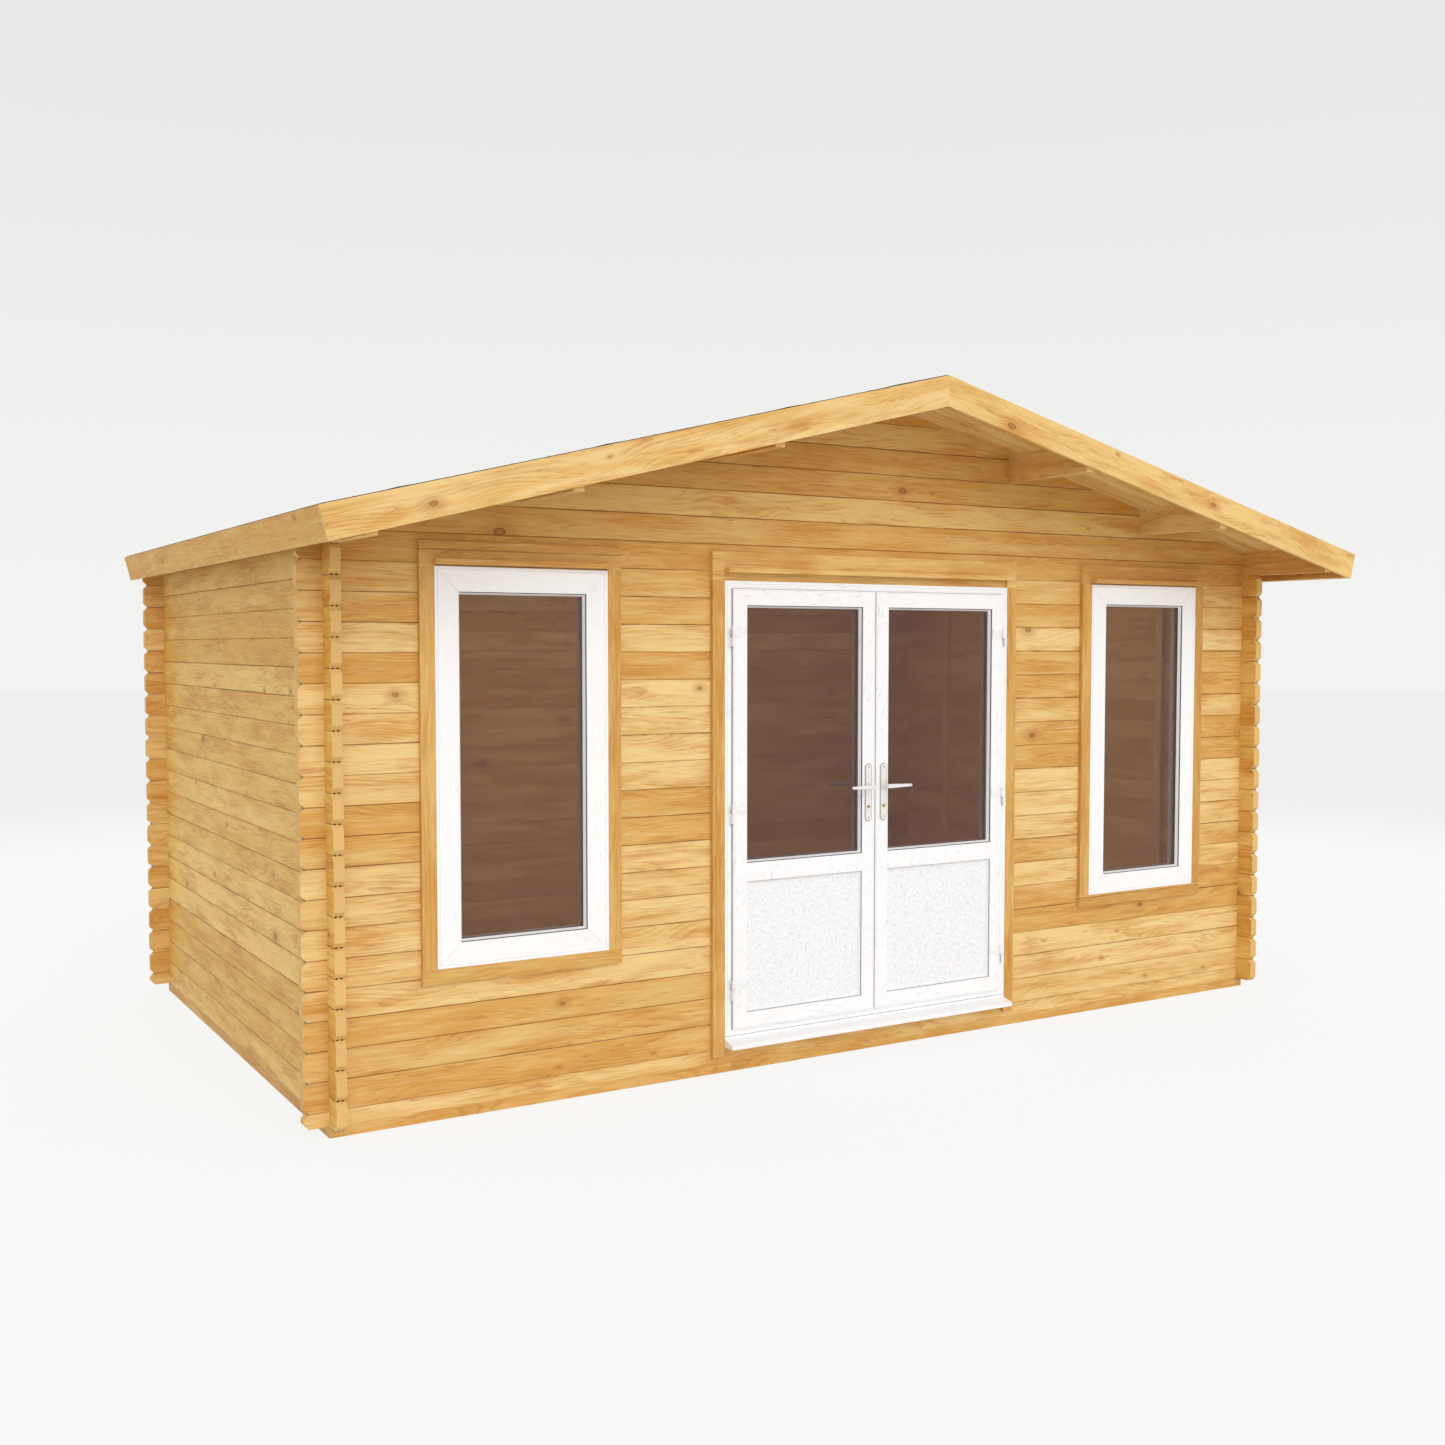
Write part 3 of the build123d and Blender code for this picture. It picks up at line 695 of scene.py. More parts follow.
@dataclass(frozen=True)
class SealAndShadeStrip:
    """Soft seal, and the strips and patches painted as shade in gaps, beside the beads and in the
    key slots.
    """
    name: str
    colour: Colour
    pale: Colour

    def material(self) -> bpy.types.Material:
        """Build the finish."""
        paint = Paint.named(self.name)
        fine = paint.noise(paint.spot(), 400.0, 2.0)
        colour = paint.mix(fine.fade(0.3, 0.75), self.colour, self.pale)
        return paint.surface(Base_Color=colour, Roughness=0.55 + fine * 0.2,
                             Normal=paint.bump(fine, 0.1, 0.0003))


# Strips painted as the shade in gaps and beside beads: dark beside the glass, grey at the
# threshold and around the leaf's lip, paler around the door panels.
DARK_BEAD_SHADE = SealAndShadeStrip("dark_bead_gap_shade", tone(74, 78, 84), tone(98, 102, 108))
GREY_SEAL_AND_GAP_SHADE = SealAndShadeStrip("grey_seal_and_gap_shade", tone(112, 114, 118), tone(140, 142, 146))
PANEL_RECESS_SHADE = SealAndShadeStrip("pale_panel_recess_shade", tone(150, 152, 156), tone(176, 178, 182))
# Painted shade inside the keyway of the lock cylinder.
KEY_SLOT_SHADE = SealAndShadeStrip("key_slot_shade", tone(34, 30, 26), tone(52, 46, 38))
SPACER = Metal("spacer_grey", tone(178, 158, 142), tone(160, 140, 126), 0.4)
ZINC = Metal("nail_zinc", tone(150, 152, 156), tone(108, 110, 114), 0.42)
BRASS = Metal("cylinder_brass", tone(206, 172, 98), tone(168, 132, 66), 0.3)
SILVER = Metal("satin_aluminium", tone(244, 243, 242), tone(214, 213, 213), 0.34, 0.35)
# Painted reflection: the grey on the bevels of the lock plates stands for the dark reflection
# they show; the plates' screws share this grey.
RIM_REFLECTION_AND_SCREWS = Metal("plate_rim_reflection_and_screw_grey", tone(158, 152, 146), tone(128, 122, 117), 0.36, 0.35)
WHITE_PAINT = Metal("white_hinge_paint", tone(248, 249, 250), tone(228, 230, 233), 0.28, 0.0,
                    (60.0, 60.0, 60.0))


# Mesh work
def add_object(name: str, data: Any) -> bpy.types.Object:
    """Put new data into the scene as an object.

    Args:
        name: the object's name.
        data: its mesh, lamp or camera.

    Returns:
        The object.
    """
    made = bpy.data.objects.new(name, data)
    bpy.context.scene.collection.objects.link(made)
    return made


def as_data(name: str, mesh: Work) -> bpy.types.Mesh:
    """Turn bmesh work into mesh data.

    Args:
        name: the data's name.
        mesh: the work, which is freed.

    Returns:
        The mesh data.
    """
    data = bpy.data.meshes.new(name)
    mesh.to_mesh(data)
    mesh.free()
    return data


class Maker:
    """Dresses CAD nodes and turns bmesh work into pieces that ride on a body."""

    def __init__(self) -> None:
        """Start with no finishes and no pieces."""
        self.finishes: dict[str, bpy.types.Material] = {}
        self.made: list[bpy.types.Object] = []

    def finish(self, finish: Any) -> bpy.types.Material:
        """The material of a finish, made at its first use.

        Args:
            finish: a finish with a name.

        Returns:
            The material.
        """
        if finish.name not in self.finishes:
            self.finishes[finish.name] = finish.material()
        return self.finishes[finish.name]

    def dress(self, node: str, finish: Any) -> None:
        """Give a CAD node its finish.

        Args:
            node: the node's name.
            finish: its finish.
        """
        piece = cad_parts[node]
        piece.data.materials.clear()
        piece.data.materials.append(self.finish(finish))
        self.made.append(piece)

    def timber(self, node: str, way: Way, seed: float, **sizes: Any) -> None:
        """Dress a CAD node in timber named after it."""
        self.dress(node, Timber(f"{node}_pine", way, seed, **sizes))

    def piece(self, name: str, mesh: Work, finish: Any, slot: str,
              body: str = "cabin", smooth: bool = False) -> bpy.types.Object:
        """Finish one piece.

        Args:
            name: the piece's name.
            mesh: its geometry, which is freed.
            finish: its finish.
            slot: name of a material slot of the record; it is not used.
            body: the body that it rides on.
            smooth: whether its faces are shaded smooth.

        Returns:
            The new object.
        """
        bmesh.ops.recalc_face_normals(mesh, faces=mesh.faces[:])
        for face in mesh.faces:
            face.smooth = smooth
        data = as_data(name, mesh)
        data.materials.append(self.finish(finish))
        made = add_object(name, data)
        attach(made, body)
        self.made.append(made)
        return made

    @staticmethod
    def turned(mesh: Work, centre: Point, profile: Sequence[tuple[float, float]],
               steps: int = 20, side: Point = (0.0, -1.0, 0.0)) -> None:
        """Add a turned form.

        Args:
            mesh: where it is added.
            centre: the foot of its axis.
            profile: radius and height pairs from the foot; radius 0 closes it.
            steps: faces around it.
            side: direction of its axis.
        """
        turn = Vector((0, 0, 1)).rotation_difference(Vector(side)).to_matrix()
        rings: list[list[bmesh.types.BMVert]] = []
        for radius, height in profile:
            count = 1 if radius == 0 else steps
            ring = []
            for k in range(count):
                angle = 2 * math.pi * k / steps
                spot = Vector((radius * math.cos(angle), radius * math.sin(angle), height))
                ring.append(mesh.verts.new(Vector(centre) + turn @ spot))
            rings.append(ring)
        for low, high in zip(rings[:-1], rings[1:]):
            for k in range(steps):
                corners = [low[k % len(low)], low[(k + 1) % len(low)],
                           high[(k + 1) % len(high)], high[k % len(high)]]
                unique = list(dict.fromkeys(corners))
                if len(unique) > 2:
                    mesh.faces.new(unique)

    @staticmethod
    def mitred_ring(mesh: Work, x: Span, z: Span,
                    profile: Sequence[tuple[float, float]]) -> None:
        """Add a closed frame of one section, with mitred corners.

        Args:
            mesh: where it is added.
            x, z: sides of the opening that it lines.
            profile: section as pairs of inset from the side and level along Y.
        """
        loops = []
        for inset, level in profile:
            corners = [(x[0] + inset, z[0] + inset), (x[1] - inset, z[0] + inset),
                       (x[1] - inset, z[1] - inset), (x[0] + inset, z[1] - inset)]
            loops.append([mesh.verts.new((cx, level, cz)) for cx, cz in corners])
        for here, there in zip(loops, loops[1:] + loops[:1]):
            for k in range(4):
                mesh.faces.new((here[k], here[(k + 1) % 4], there[(k + 1) % 4], there[k]))

    @staticmethod
    def loft(mesh: Work, sections: Sequence[Sequence[Point]],
             closed: bool = True) -> None:
        """Add a skin over equal sections, with ends closed by a face.

        Args:
            mesh: where it is added.
            sections: corner points of each section.
            closed: whether the two ends get a face.
        """
        rows = [[mesh.verts.new(p) for p in section] for section in sections]
        for here, there in zip(rows[:-1], rows[1:]):
            for k in range(len(here)):
                after = (k + 1) % len(here)
                mesh.faces.new((here[k], here[after], there[after], there[k]))
        if closed:
            mesh.faces.new(rows[0])
            mesh.faces.new(rows[-1][::-1])


# Sub-assemblies
@dataclass
class Walls:
    """Stacked logs, bearers, battens and floor."""
    make: Maker
    log: float = 0.040

    def build(self) -> None:
        """Dress the logs, bearers, battens and floor."""
        front, back = FRONT + self.log / 2, BACK - self.log / 2
        for node, seed, middle in (
                ("front_wall_left", 3.0, front), ("front_wall_right", 47.0, front),
                ("front_sill_log", 71.0, front), ("back_wall", 150.0, back),
                ("back_gable", 120.0, back)):
            self.make.timber(node, Way.ACROSS, seed, middle=middle, channels=True)
        # Painted shade: the front gable has a darker, more orange palette for the shade and warm
        # bounced light under the roof's overhang.
        self.make.timber(
            "front_gable", Way.ACROSS, 90.0, middle=front, channels=True,
            pale=tone(228, 188, 114), warm=tone(214, 158, 74), light=tone(236, 202, 134))
        # Painted light: the side walls have their own yellower, less blue palette, which makes up
        # for the cooler light that falls on the sides.
        for side, wall, battens in (("left", 200.0, 310.0), ("right", 240.0, 318.0)):
            self.make.timber(
                f"{side}_wall", Way.DEEP, wall, first=SIDE_JOINT,
                middle=SIDE_X[1] - self.log / 2, channels=True, pale=tone(240, 203, 120),
                warm=tone(229, 174, 76), light=tone(246, 218, 140))
            self.make.timber(f"{side}_wall_battens", Way.UP, battens, pitch=0.2, first=2.35,
                             knots=0.3)
        for side, way in (("front", Way.ACROSS), ("back", Way.ACROSS), ("left", Way.DEEP),
                          ("right", Way.DEEP)):
            node = f"{side}_bearer"
            self.make.timber(node, way, 300.0 + len(node), pitch=0.2, first=-0.08)
        self.make.timber("floor", Way.PLANKS, 330.0, pitch=BOARD_WIDE, first=0.0, knots=0.25)


@dataclass
class Roof:
    """Roof timbers, boards, fascias and felt with its laps and nails."""
    make: Maker
    nail_step: float = 0.15
    nail_in: float = 0.02
    nail_side: float = 0.015
    nail_first: float = 0.1
    nail_proud: float = 0.0016
    lap_step: float = 0.82
    lap_wide: float = 0.075
    lap_back: float = 0.001
    lap_parts: int = 12
    lap_wave: float = 0.002
    lap_under: float = 0.0015
    lap_thin: float = 0.0002
    lap_thick: float = 0.0022
    cap: Span = (0.012, 0.26)
    felt_in: float = 0.012

    def build(self) -> None:
        """Dress the roof's timbers and add the laps and nails of the felt."""
        shades = {"left": (tone(247, 220, 160), tone(234, 186, 108)),
                  "right": (tone(234, 196, 124), tone(222, 168, 88))}
        for side, seed in {"left": 400.0, "right": 450.0}.items():
            pale, warm = shades[side]
            self.make.timber(f"{side}_eave_log", Way.DEEP, seed, pitch=0.2, first=2.17)
            for name, extra in (("upper", 7.0), ("lower", 13.0)):
                self.make.timber(f"{side}_{name}_purlin", Way.DEEP, seed + extra, pitch=0.9,
                                 first=2.1)
            self.make.timber(f"{side}_roof_boards", Way.SARKING, seed + 20, pitch=BOARD_WIDE,
                             first=BARGE[0] + ROOF_BOARD)
            for end, extra in (("front", 29.0), ("back", 31.0)):
                self.make.timber(f"{side}_{end}_bargeboard", Way.FASCIA, seed + extra,
                                 pitch=0.6, first=2.55, knots=0.4, pale=pale, warm=warm)
            self.make.timber(
                f"{side}_eaves_board", Way.DEEP, seed + 37, pitch=0.4, first=2.05, knots=0.4,
                pale=tone(237, 198, 118), warm=tone(226, 170, 76))
        self.make.dress("roof_felt", Felt())
        self._laps()
        self._nails()

    def on_slope(self, side: int, run: float, y: float, rise: float) -> Point:
        """Point over a slope.

        Args:
            side: -1 for the left slope, 1 for the right.
            run: metres down from the ridge.
            y: place along the ridge.
            rise: metres out of the underside of the boards.

        Returns:
            The point.
        """
        x = run * math.cos(SLOPE) + rise * math.sin(SLOPE)
        z = UNDER_RIDGE - run * math.sin(SLOPE) + rise * math.cos(SLOPE)
        return side * x, y, z

    def _laps(self) -> None:
        """Lower edges of the felt sheets that lap over the ones below, and the ridge cap."""
        mesh = bmesh.new()
        top = ROOF_BOARD + FELT
        front = BARGE[0] + self.felt_in + self.lap_back
        long = BARGE[1] - self.felt_in - self.lap_back - front
        strips = [(self.lap_step * k - self.lap_wide, self.lap_step * k) for k in (1, 2, 3)]
        for side in (-1, 1):
            for k, (high, low) in enumerate([*strips, self.cap]):
                sections = []
                for part in range(self.lap_parts + 1):
                    edge = low + self.lap_wave * math.sin(part * 2.1 + k + side)
                    sections.append([
                        self.on_slope(side, run, front + long * part / self.lap_parts, top + rise)
                        for run, rise in ((high, -self.lap_under), (high, self.lap_thin),
                                          (edge, self.lap_thick), (edge, -self.lap_under))])
                self.make.loft(mesh, sections)
        self.make.piece("felt_laps", mesh, Felt(), "roof_felt")

    def _nails(self) -> None:
        """Clout nails along the edges of the felt and its laps."""
        mesh = bmesh.new()
        top = ROOF_BOARD + FELT
        rows = [edge - self.nail_in for edge in (*(self.lap_step * k for k in (1, 2, 3)),
                                                 self.cap[1])]
        low_edge = EAVE_RUN - self.felt_in - self.nail_in
        front = BARGE[0] + self.felt_in + self.nail_side
        back = BARGE[1] - self.felt_in - self.nail_side
        for side in (-1, 1):
            for y in self._steps(front + self.nail_in, back - self.nail_in):
                self._nail(mesh, side, low_edge, y, top)
                for run in rows:
                    self._nail(mesh, side, run, y, top + self.nail_proud)
            for run in self._steps(self.nail_first, low_edge - self.nail_first):
                for y in (front, back):
                    self._nail(mesh, side, run, y, top)
        self.make.piece("felt_nails", mesh, ZINC, "roof_felt")

    def _nail(self, mesh: Work, side: int, run: float, y: float,
              rise: float) -> None:
        """Head of one nail.

        Args:
            mesh: where it is added.
            side, run, y, rise: its place, as on_slope takes it.
        """
        up = (side * math.sin(SLOPE), 0.0, math.cos(SLOPE))
        head = ((0.0048, -0.001), (0.0048, 0.0006), (0.003, 0.0013), (0.0, 0.0014))
        self.make.turned(mesh, self.on_slope(side, run, y, rise), head, 8, up)

    def _steps(self, low: float, high: float) -> list[float]:
        """Evenly spaced places between two ends."""
        count = max(1, round((high - low) / self.nail_step))
        return [low + (high - low) * k / count for k in range(count + 1)]


@dataclass
class Glazing:
    """Sealed panes, and strips painted as the shade where the beads that hold them meet their
    frames.
    """
    make: Maker
    bead: float = 0.010
    sheet: float = 0.004
    arris: float = 0.0006
    spacer: float = 0.006
    shade_strip_section: tuple[Span, ...] = ((-0.001, 0.0005), (0.0004, 0.0003), (0.0031, 0.0054),
                                   (0.0012, 0.0062))

    def pane(self, node: str, glass: BronzeGlass, body: str) -> None:
        """Replace a CAD pane by two glass sheets with a spacer bar between them.

        Args:
            node: the CAD pane.
            glass: the finish of its sheets.
            body: the body that it rides on.
        """
        x, y, z = spans(node)
        sheets = bmesh.new()
        for low in (y[0], y[1] - self.sheet):
            high = low + self.sheet
            levels = ((low, self.arris), (low + self.arris, 0.0), (high - self.arris, 0.0),
                      (high, self.arris))
            self.make.loft(sheets, [
                [(x[0] + c, at, z[0] + c), (x[1] - c, at, z[0] + c), (x[1] - c, at, z[1] - c),
                 (x[0] + c, at, z[1] - c)] for at, c in levels])
        made = self.make.piece(f"{node}_sheets", sheets, glass, "tinted_glass", body)
        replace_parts(made, node)
        bar = bmesh.new()
        inner = (y[1] - self.sheet - self.spacer, y[1] - self.sheet - self.arris)
        self.make.mitred_ring(bar, x, z, ((self.arris, inner[0]), (self.spacer, inner[0]),
                                          (self.spacer, inner[1]), (self.arris, inner[1])))
        self.make.piece(f"{node}_spacer", bar, SPACER, "tinted_glass", body)

    def seam(self, name: str, mouth: tuple[Span, Span], face: float, finish: SealAndShadeStrip,
             body: str) -> None:
        """Add a strip painted as the shade where a bead meets its frame.

        Args:
            name: the piece's name.
            mouth: outer sides of the bead's slope, along X and Z.
            face: level of the frame's face along Y.
            finish: the line's finish.
            body: the body that it rides on.
        """
        mesh = bmesh.new()
        self.make.mitred_ring(mesh, mouth[0], mouth[1], [
            (inset, face + deep) for inset, deep in self.shade_strip_section])
        self.make.piece(name, mesh, finish, "white_frames", body)


@dataclass
class Windows:
    """Two tall windows with their panes, beads and cover boards."""
    make: Maker
    glazing: Glazing
    face: float = 0.096

    def build(self) -> None:
        """Dress both windows and add their panes, and dark strips painted as the shade where
        their beads meet the frames.
        """
        bands = ((HEAD_LOW, 3.0), (0.0, WINDOW_Z[0]), (WINDOW_Z[1], HEAD_LOW))
        for side in ("left", "right"):
            x, y, z = spans(f"{side}_window_frame")
            self.make.dress(f"{side}_window_frame", WhiteFoil(
                f"{side}_window_foil", x, z, self.face + self.glazing.bead, mottle=0.45))
            self.make.timber(f"{side}_window_trim", Way.UP, 500.0 + len(side), pitch=0.28,
                             first=x[0] - 0.2, bands=bands, pale=TRIM_PALE, warm=TRIM_WARM)
            self.glazing.pane(f"{side}_window_glass",
                              BronzeGlass("window_glass", tone(97, 79, 73), 0.275), "cabin")
            mouth = ((x[0] + self.face, x[1] - self.face), (z[0] + self.face, z[1] - self.face))
            # Painted shade: a dark strip where the bead meets the frame.
            self.glazing.seam(f"{side}_window_seam", mouth, y[0], DARK_BEAD_SHADE, "cabin")


@dataclass
class Leaf:
    """One door leaf with its panes, seal, lock plates, levers, screws and lock.

    sign is 1 for the left leaf and -1 for its mirror image.
    """
    make: Maker
    glazing: Glazing
    side: str
    sign: int
    stile: float = 0.069
    rail: Span = (0.825, 0.905)
    lip: float = 0.007
    seal_clear: float = 0.0004
    seal_past: float = 0.0018
    seal_under: float = 0.005
    plate_x: float = 0.042
    plate_z: float = 1.179
    plate_half: Span = (0.018, 0.131)
    plate_thick: float = 0.008
    plate_rim: float = 0.0034
    plate_bevel: float = 0.0016
    plate_screws: Span = (1.066, 1.292)
    lever_z: float = 1.207
    lever_off: float = 0.048
    lever_corners: int = 16
    spindle: float = 0.004
    cylinder_z: float = 1.115
    slot_half: Span = (0.0012, 0.0044)
    slot_out: Span = (0.0014, 0.0020)
    hinge_levels: Point = (0.361, 1.120, 1.876)
    cap_places: Point = (0.738, 0.718, 0.698)
    cap_rise: float = 0.021
    cap_out: float = 0.004

    def __post_init__(self) -> None:
        """Work out where the leaf lies and where the faces of its plates are."""
        self.body = f"{self.side}_door"
        self.x, self.y, self.z = spans(f"{self.side}_door_leaf")
        self.plate = -self.sign * self.plate_x
        self.tops = ((self.y[0] - self.plate_thick, -1), (self.y[1] + self.plate_thick, 1))

    def build(self) -> None:
        """Dress the leaf's nodes and add its small parts."""
        self.make.dress(f"{self.side}_door_leaf", WhiteFoil(
            f"{self.side}_leaf_foil", self.x, self.z, self.stile + self.glazing.bead,
            step=0.006, mitred=False, mottle=0.9))
        self.make.dress(f"{self.side}_door_panel", Stipple())
        self.make.dress(f"{self.side}_door_hinges", WHITE_PAINT)
        self.glazing.pane(f"{self.side}_door_glass",
                          BronzeGlass("door_glass", tone(80, 63, 64), 0.315), self.body)
        mouth_x = (self.x[0] + self.stile, self.x[1] - self.stile)
        # Painted shade: a dark strip where the glass bead meets the leaf, and a paler one around
        # the sunk panel.
        for name, mouth_z, finish in (
                ("glass", (self.rail[1], self.z[1] - self.stile), DARK_BEAD_SHADE),
                ("panel", (self.z[0] + self.stile, self.rail[0]), PANEL_RECESS_SHADE)):
            self.glazing.seam(f"{self.side}_{name}_seam", (mouth_x, mouth_z), self.y[0], finish,
                              self.body)
        self._seal()
        self._plates()
        self._levers()
        self._screws()
        self._caps()
        self._cylinder()

    def _add(self, name: str, mesh: Work, finish: Any, smooth: bool = False,
             slot: str = "handle_metal") -> bpy.types.Object:
        """A piece that rides on the leaf."""
        return self.make.piece(f"{self.side}_{name}", mesh, finish, slot, self.body, smooth)

    def _seal(self) -> None:
        """Grey seal between the leaf's lip and the frame, just past the lip's edge, which also
        stands in for the shadow gap along the lip.
        """
        back = self.y[0] + self.lip
        rest = spans("door_frame")[1][0] - self.seal_clear
        mesh = bmesh.new()
        self.make.mitred_ring(mesh, self.x, self.z, (
            (-self.seal_past, back + 0.0006), (-self.seal_past, rest), (self.seal_under, rest),
            (self.seal_under, back), (-0.001, back)))
        self._add("leaf_seal", mesh, GREY_SEAL_AND_GAP_SHADE, slot="white_frames")

    def _outline(self, y: float, inset: float, steps: int = 12) -> list[Point]:
        """Round-ended outline of a lock plate.

        Args:
            y: its level.
            inset: how far the outline lies inside the plate's edge.
            steps: parts of each round end.

        Returns:
            Corner points in order.
        """
        radius = self.plate_half[0] - inset
        straight = self.plate_half[1] - self.plate_half[0]
        turns = [(end, math.pi * k / steps) for end in (1, -1) for k in range(steps + 1)]
        return [(self.plate + end * radius * math.cos(angle), y,
                 self.plate_z + end * (straight + radius * math.sin(angle)))
                for end, angle in turns]

    def _plates(self) -> None:
        """Replace the CAD plates by bevelled ones, with the bevel as a piece of its own in a grey
        that is painted reflection.
        """
        plates, rims = bmesh.new(), bmesh.new()
        for top, way in self.tops:
            shoulder = top - way * self.plate_bevel
            self.make.loft(plates, [self._outline(y, inset) for y, inset in (
                (top - way * self.plate_thick, 0.0), (shoulder, 0.0),
                (shoulder, self.plate_rim), (top, self.plate_rim))])
            self.make.loft(rims, [self._outline(y, inset) for y, inset in (
                (shoulder - way * 0.0008, 0.0004), (shoulder + way * 0.0002, 0.0003),
                (top - way * 0.0004, self.plate_rim))], closed=False)
        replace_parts(self._add("plates", plates, SILVER), f"{self.side}_lock_plates")
        # Painted reflection: the bevel is grey for the dark reflection on it.
        self._add("plate_rims", rims, RIM_REFLECTION_AND_SCREWS, True)

    def _levers(self) -> None:
        """Replace the CAD levers by smooth tapered ones on turned necks."""
        mesh = bmesh.new()
        stations = ((0.0130, 0.0045, 0.0032), (0.0118, 0.0080, 0.0060), (0.008, 0.0096, 0.0072),
                    (-0.013, 0.0098, 0.0074), (-0.050, 0.0086, 0.0064), (-0.090, 0.0073, 0.0053),
                    (-0.117, 0.0065, 0.0046), (-0.1225, 0.0055, 0.0038), (-0.125, 0.0032, 0.002))
        neck = ((0.0, 0.0002), (0.0135, 0.0002), (0.0135, 0.0026), (0.0118, 0.0042),
                (0.0088, 0.0060), (0.0076, 0.018), (0.0078, self.lever_off - 0.008),
                (0.0086, self.lever_off - 0.001))
        for top, way in self.tops:
            middle = top + way * self.lever_off
            self.make.loft(mesh, [
                [(self.plate + self.sign * out, middle + thick * u, self.lever_z + high * v)
                 for u, v in self._rounded()] for out, high, thick in stations])
            self.make.turned(mesh, (self.plate, top, self.lever_z), neck, 24,
                             (0.0, float(way), 0.0))
        self.make.loft(mesh, [
            [(self.plate + dx * self.spindle, top, self.lever_z + dz * self.spindle)
             for dx, dz in ((-1, -1), (1, -1), (1, 1), (-1, 1))] for top, _ in self.tops])
        made = self.make.piece(f"{self.side}_levers", mesh, SILVER, "handle_metal",
                               f"{self.side}_handle", True)
        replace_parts(made, f"{self.side}_door_levers")

    def _rounded(self, power: float = 0.7) -> list[tuple[float, float]]:
        """Outline between a circle and a square, within 1 of its middle.

        Args:
            power: 1 for a circle, nearer 0 for a square.

        Returns:
            Its corners in order.
        """
        turns = [2 * math.pi * k / self.lever_corners for k in range(self.lever_corners)]
        return [tuple(math.copysign(abs(part) ** power, part)
                      for part in (math.cos(turn), math.sin(turn))) for turn in turns]

    def _screws(self) -> None:
        """Countersunk screws of the lock plates."""
        mesh = bmesh.new()
        dome = ((0.0036, -0.0005), (0.0036, 0.0004), (0.0026, 0.0011), (0.0010, 0.0013),
                (0.0008, 0.0006), (0.0, 0.0006))
        for top, way in self.tops:
            for z in self.plate_screws:
                self.make.turned(mesh, (self.plate, top, z), dome, 16, (0.0, float(way), 0.0))
        self._add("plate_screws", mesh, RIM_REFLECTION_AND_SCREWS, True)

    def _caps(self) -> None:
        """Caps over the screws of the hinges."""
        mesh = bmesh.new()
        cap = ((0.0042, -0.0005), (0.0042, 0.0005), (0.003, 0.0012), (0.0, 0.0014))
        for level in self.hinge_levels:
            for out in self.cap_places:
                centre = (-self.sign * out, self.y[0] - self.cap_out, level + self.cap_rise)
                self.make.turned(mesh, centre, cap, 14)
        self._add("hinge_caps", mesh, WHITE_PAINT, True, "hinge_white")

    def _cylinder(self) -> None:
        """Brass ends of the lock cylinder, with a dark piece in each key slot as painted shade
        inside the keyway.
        """
        brass, slot = bmesh.new(), bmesh.new()
        end = ((0.0082, -0.001), (0.0082, 0.0012), (0.0074, 0.0019), (0.0, 0.0019))
        key = ((-1, -1), (1, -1), (1, 0.4), (1.6, 0.7), (0.8, 1), (-0.8, 1), (-1.6, 0.7),
               (-1, 0.4))
        for top, way in self.tops:
            self.make.turned(brass, (self.plate, top, self.cylinder_z), end, 24,
                             (0.0, float(way), 0.0))
            self.make.loft(slot, [
                [(self.plate + dx * self.slot_half[0], top + way * out,
                  self.cylinder_z + dz * self.slot_half[1]) for dx, dz in key]
                for out in self.slot_out])
        self._add("lock_faces", brass, BRASS)
        # Painted shade: the key slots are dark pieces for the shade inside the keyway.
        self._add("key_slots", slot, KEY_SLOT_SHADE)


@dataclass
class Doors:
    """Door frame, sill, trim and both leaves."""
    make: Maker
    glazing: Glazing
    member: float = 0.066
    seam: Span = (0.0105, 0.0135)
    shade_strip_proud: float = 0.0006

    def build(self) -> None:
        """Dress the doorway and build both leaves."""
        self.make.dress("door_frame", WhiteFoil("door_frame_foil", DOOR_X, DOOR_Z, self.member,
                                                mitred=False, mottle=0.8))
        self.make.dress("door_sill", WhiteFoil("door_sill_foil", DOOR_X, spans("door_sill")[2],
                                               0.0, step=0.2, mitred=False))
        self.make.timber("door_trim", Way.UP, 540.0, pitch=0.3, first=0.75,
                         bands=((DOOR_Z[1], 3.0),), pale=TRIM_PALE, warm=TRIM_WARM)
        self.make.dress("frame_hinges", WHITE_PAINT)
        self._threshold()
        for side, sign in (("left", 1), ("right", -1)):
            Leaf(self.make, self.glazing, side, sign).build()

    def _threshold(self) -> None:
        """Grey strip painted as the shade in the gap where the threshold rail meets the foot of
        the frame.
        """
        face = spans("door_frame")[1][0]
        mesh = bmesh.new()
        low, high = (DOOR_Z[0] + level for level in self.seam)
        self.make.loft(mesh, [
            [(x, face + 0.001, low), (x, face - self.shade_strip_proud, low + 0.0008),
             (x, face - self.shade_strip_proud, high - 0.0008), (x, face + 0.001, high)]
            for x in (DOOR_X[0] + 0.001, 0.0, DOOR_X[1] - 0.001)])
        # Painted shade: the strip is grey for the shade in the gap.
        self.make.piece("threshold_gap_shade", mesh, GREY_SEAL_AND_GAP_SHADE, "white_frames")


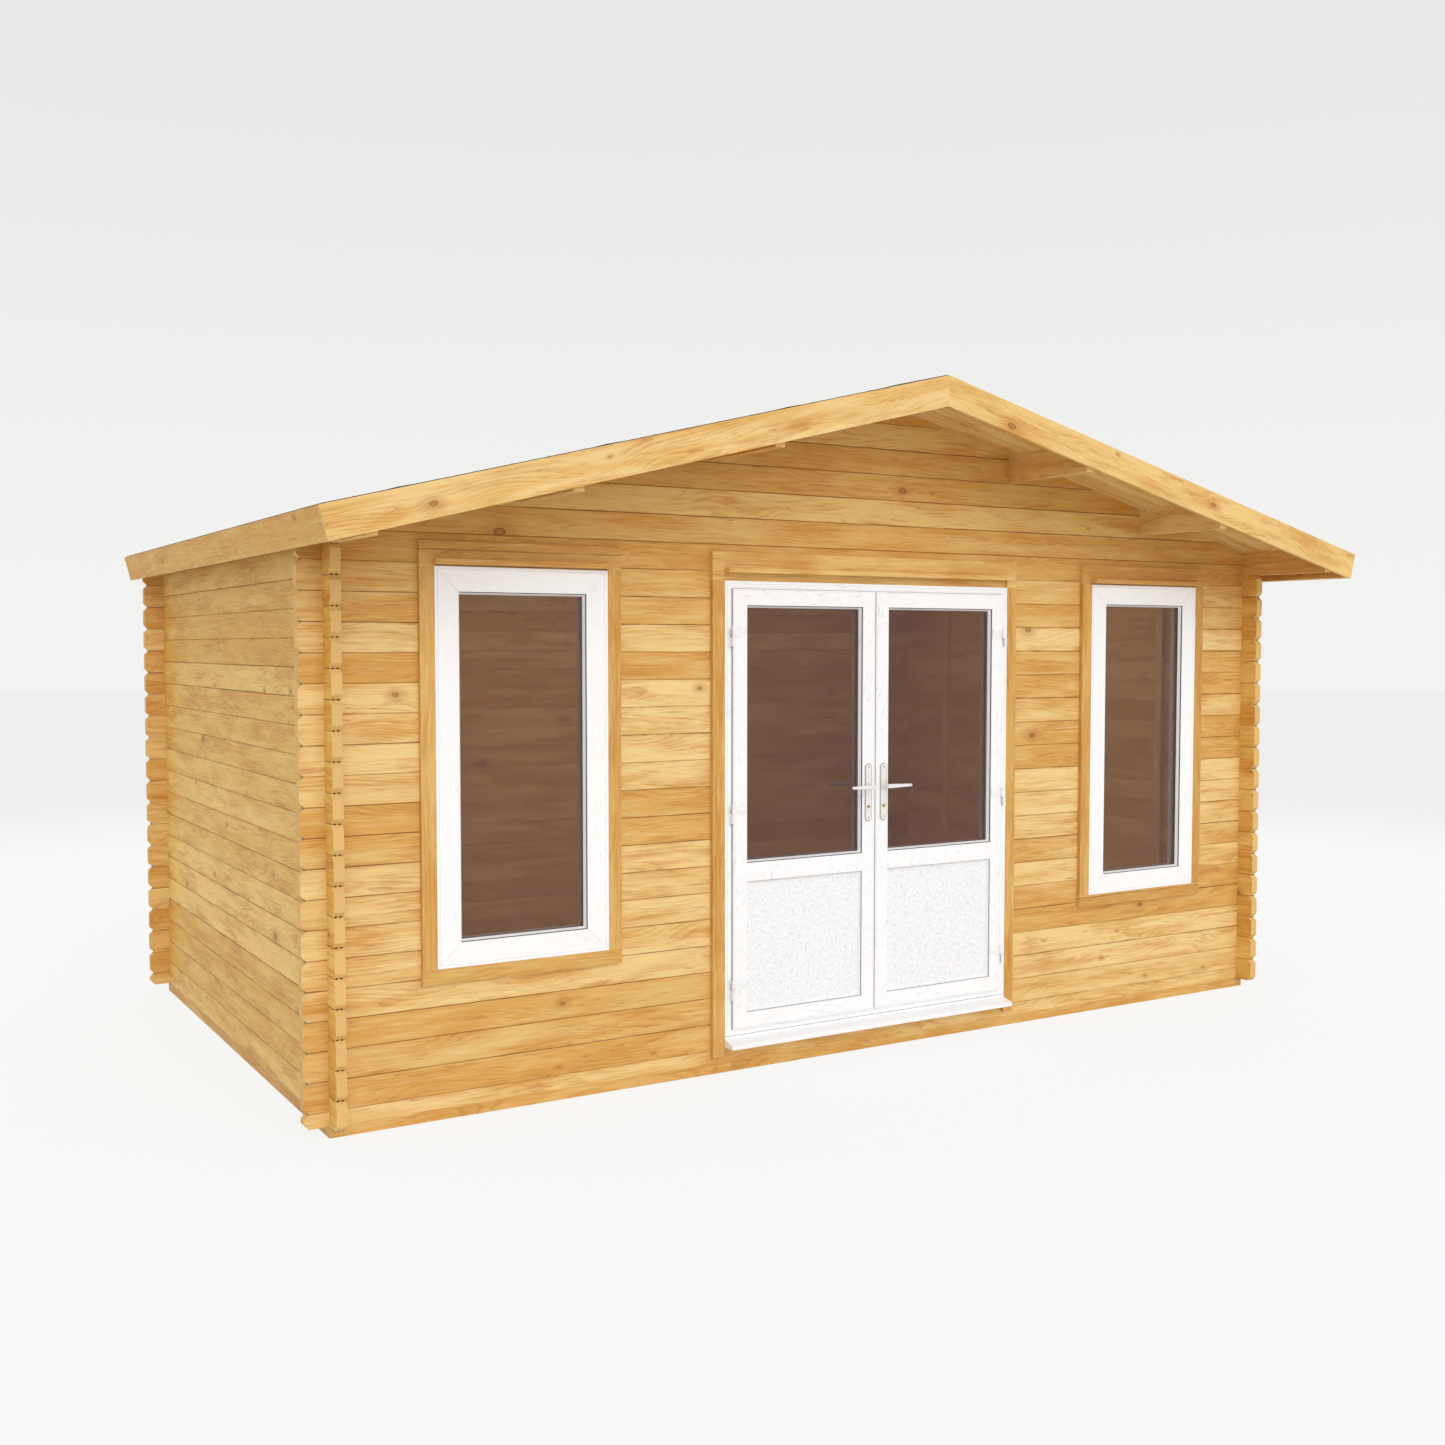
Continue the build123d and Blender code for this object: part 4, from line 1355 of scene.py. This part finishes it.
@dataclass
class Studio:
    """Pale floor, soft light and the camera of the photograph."""
    reach: float = 60.0
    spot: Point = (-4.1474, -6.7858, 1.8347)
    yaw: float = 31.159
    pitch: float = -2.850
    focal: float = 38.01
    world: float = 0.78
    sun: float = 1.04
    sun_wide: float = 50.0
    sun_way: Point = (0.05, 0.80, -0.42)
    room: float = 38.0
    room_level: float = 2.32
    room_wide: Span = (4.4, 2.2)
    floor_seen: float = 0.83
    ramp: Span = (6.8, 12.6)

    def build(self) -> None:
        """Set up floor, world, lamps, camera and view settings."""
        self._floor()
        self._world()
        self._lamps()
        self._camera()
        bpy.context.scene.view_settings.view_transform = "Standard"

    @staticmethod
    def _seen(paint: Paint) -> Value:
        """Tell rays that show the background, from the eye, a gloss or a pane.

        Args:
            paint: the nodes under way.

        Returns:
            1 for those rays, else 0.
        """
        rays = paint.node("ShaderNodeLightPath")
        seen = Value(paint, rays.outputs["Is Camera Ray"])
        seen = seen.most(Value(paint, rays.outputs["Is Glossy Ray"]))
        return seen.most(Value(paint, rays.outputs["Is Transmission Ray"]))

    def _floor(self) -> None:
        """Wide pale floor that keeps a faint shadow."""
        mesh = bmesh.new()
        bmesh.ops.create_circle(mesh, cap_ends=True, radius=self.reach, segments=96)
        made = add_object("studio_floor", as_data("studio_floor", mesh))
        paint = Paint.named("studio_floor")
        x, y, _ = paint.place()
        away = (x * x + y * y).root()
        lit = paint.node("ShaderNodeBsdfDiffuse", inputs={"Color": (0.82, 0.82, 0.81)})
        glow = paint.mix(away.fade(*self.ramp), (0.995, 0.995, 0.992), (0.885, 0.885, 0.870))
        shine = paint.node("ShaderNodeEmission", inputs={"Color": glow})
        plain = paint.node("ShaderNodeMixShader", inputs={
            0: self._seen(paint) * self.floor_seen, 1: lit.outputs[0], 2: shine.outputs[0]})
        paint.node("ShaderNodeOutputMaterial", inputs={"Surface": plain.outputs[0]})
        made.data.materials.append(paint.owner)

    def _world(self) -> None:
        """Even white light, seen as a pale grey backdrop."""
        world = bpy.data.worlds.new("studio")
        bpy.context.scene.world = world
        paint = Paint(world)
        way = paint.parts(paint.node("ShaderNodeTexCoord").outputs["Generated"])
        shown = paint.mix(way[2].fade(0.0, 0.42), (0.890, 0.890, 0.875), (0.800, 0.800, 0.785))
        light = paint.node("ShaderNodeBackground", inputs={"Color": (0.995, 0.998, 1.0),
                                                           "Strength": self.world})
        back = paint.node("ShaderNodeBackground", inputs={"Color": shown, "Strength": 1.0})
        both = paint.node("ShaderNodeMixShader", inputs={
            0: self._seen(paint), 1: light.outputs[0], 2: back.outputs[0]})
        paint.node("ShaderNodeOutputWorld", inputs={"Surface": both.outputs[0]})

    def _lamps(self) -> None:
        """One broad warm key from the front, and a soft light in the room."""
        key = bpy.data.lights.new("key", "SUN")
        key.energy = self.sun
        key.color = (1.0, 0.985, 0.965)
        key.angle = math.radians(self.sun_wide)
        lamp = add_object("key", key)
        lamp.rotation_euler = Vector(self.sun_way).to_track_quat("-Z", "Y").to_euler()
        glow = bpy.data.lights.new("room", "AREA")
        glow.shape = "RECTANGLE"
        glow.size, glow.size_y = self.room_wide
        glow.energy = self.room
        inside = add_object("room", glow)
        inside.location = (0.0, (FRONT + BACK) / 2, self.room_level)
        inside.visible_camera = False
        inside.visible_glossy = False
        inside.visible_transmission = False

    def _camera(self) -> None:
        """Camera at the view of the photograph."""
        data = bpy.data.cameras.new("view")
        data.sensor_width = 36.0
        data.lens = self.focal
        data.clip_end = 200.0
        camera = add_object("view", data)
        camera.location = self.spot
        camera.rotation_euler = (math.radians(90 + self.pitch), 0.0, -math.radians(self.yaw))
        bpy.context.scene.camera = camera


def main() -> None:
    """Build the cabin's finishes and small pieces, then the studio."""
    logging.basicConfig(level=logging.INFO, format="%(name)s: %(message)s")
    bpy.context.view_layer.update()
    make = Maker()
    glazing = Glazing(make)
    for part in (Walls(make), Roof(make), Windows(make, glazing), Doors(make, glazing)):
        first = len(make.made)
        part.build()
        for piece in make.made[first:]:
            LOG.info("%s: %s, %d faces, %s", type(part).__name__, piece.name,
                     len(piece.data.polygons), piece.data.materials[0].name)
    Studio().build()
    LOG.info("Studio: floor, lamps and camera")


if __name__ == "__main__":
    main()
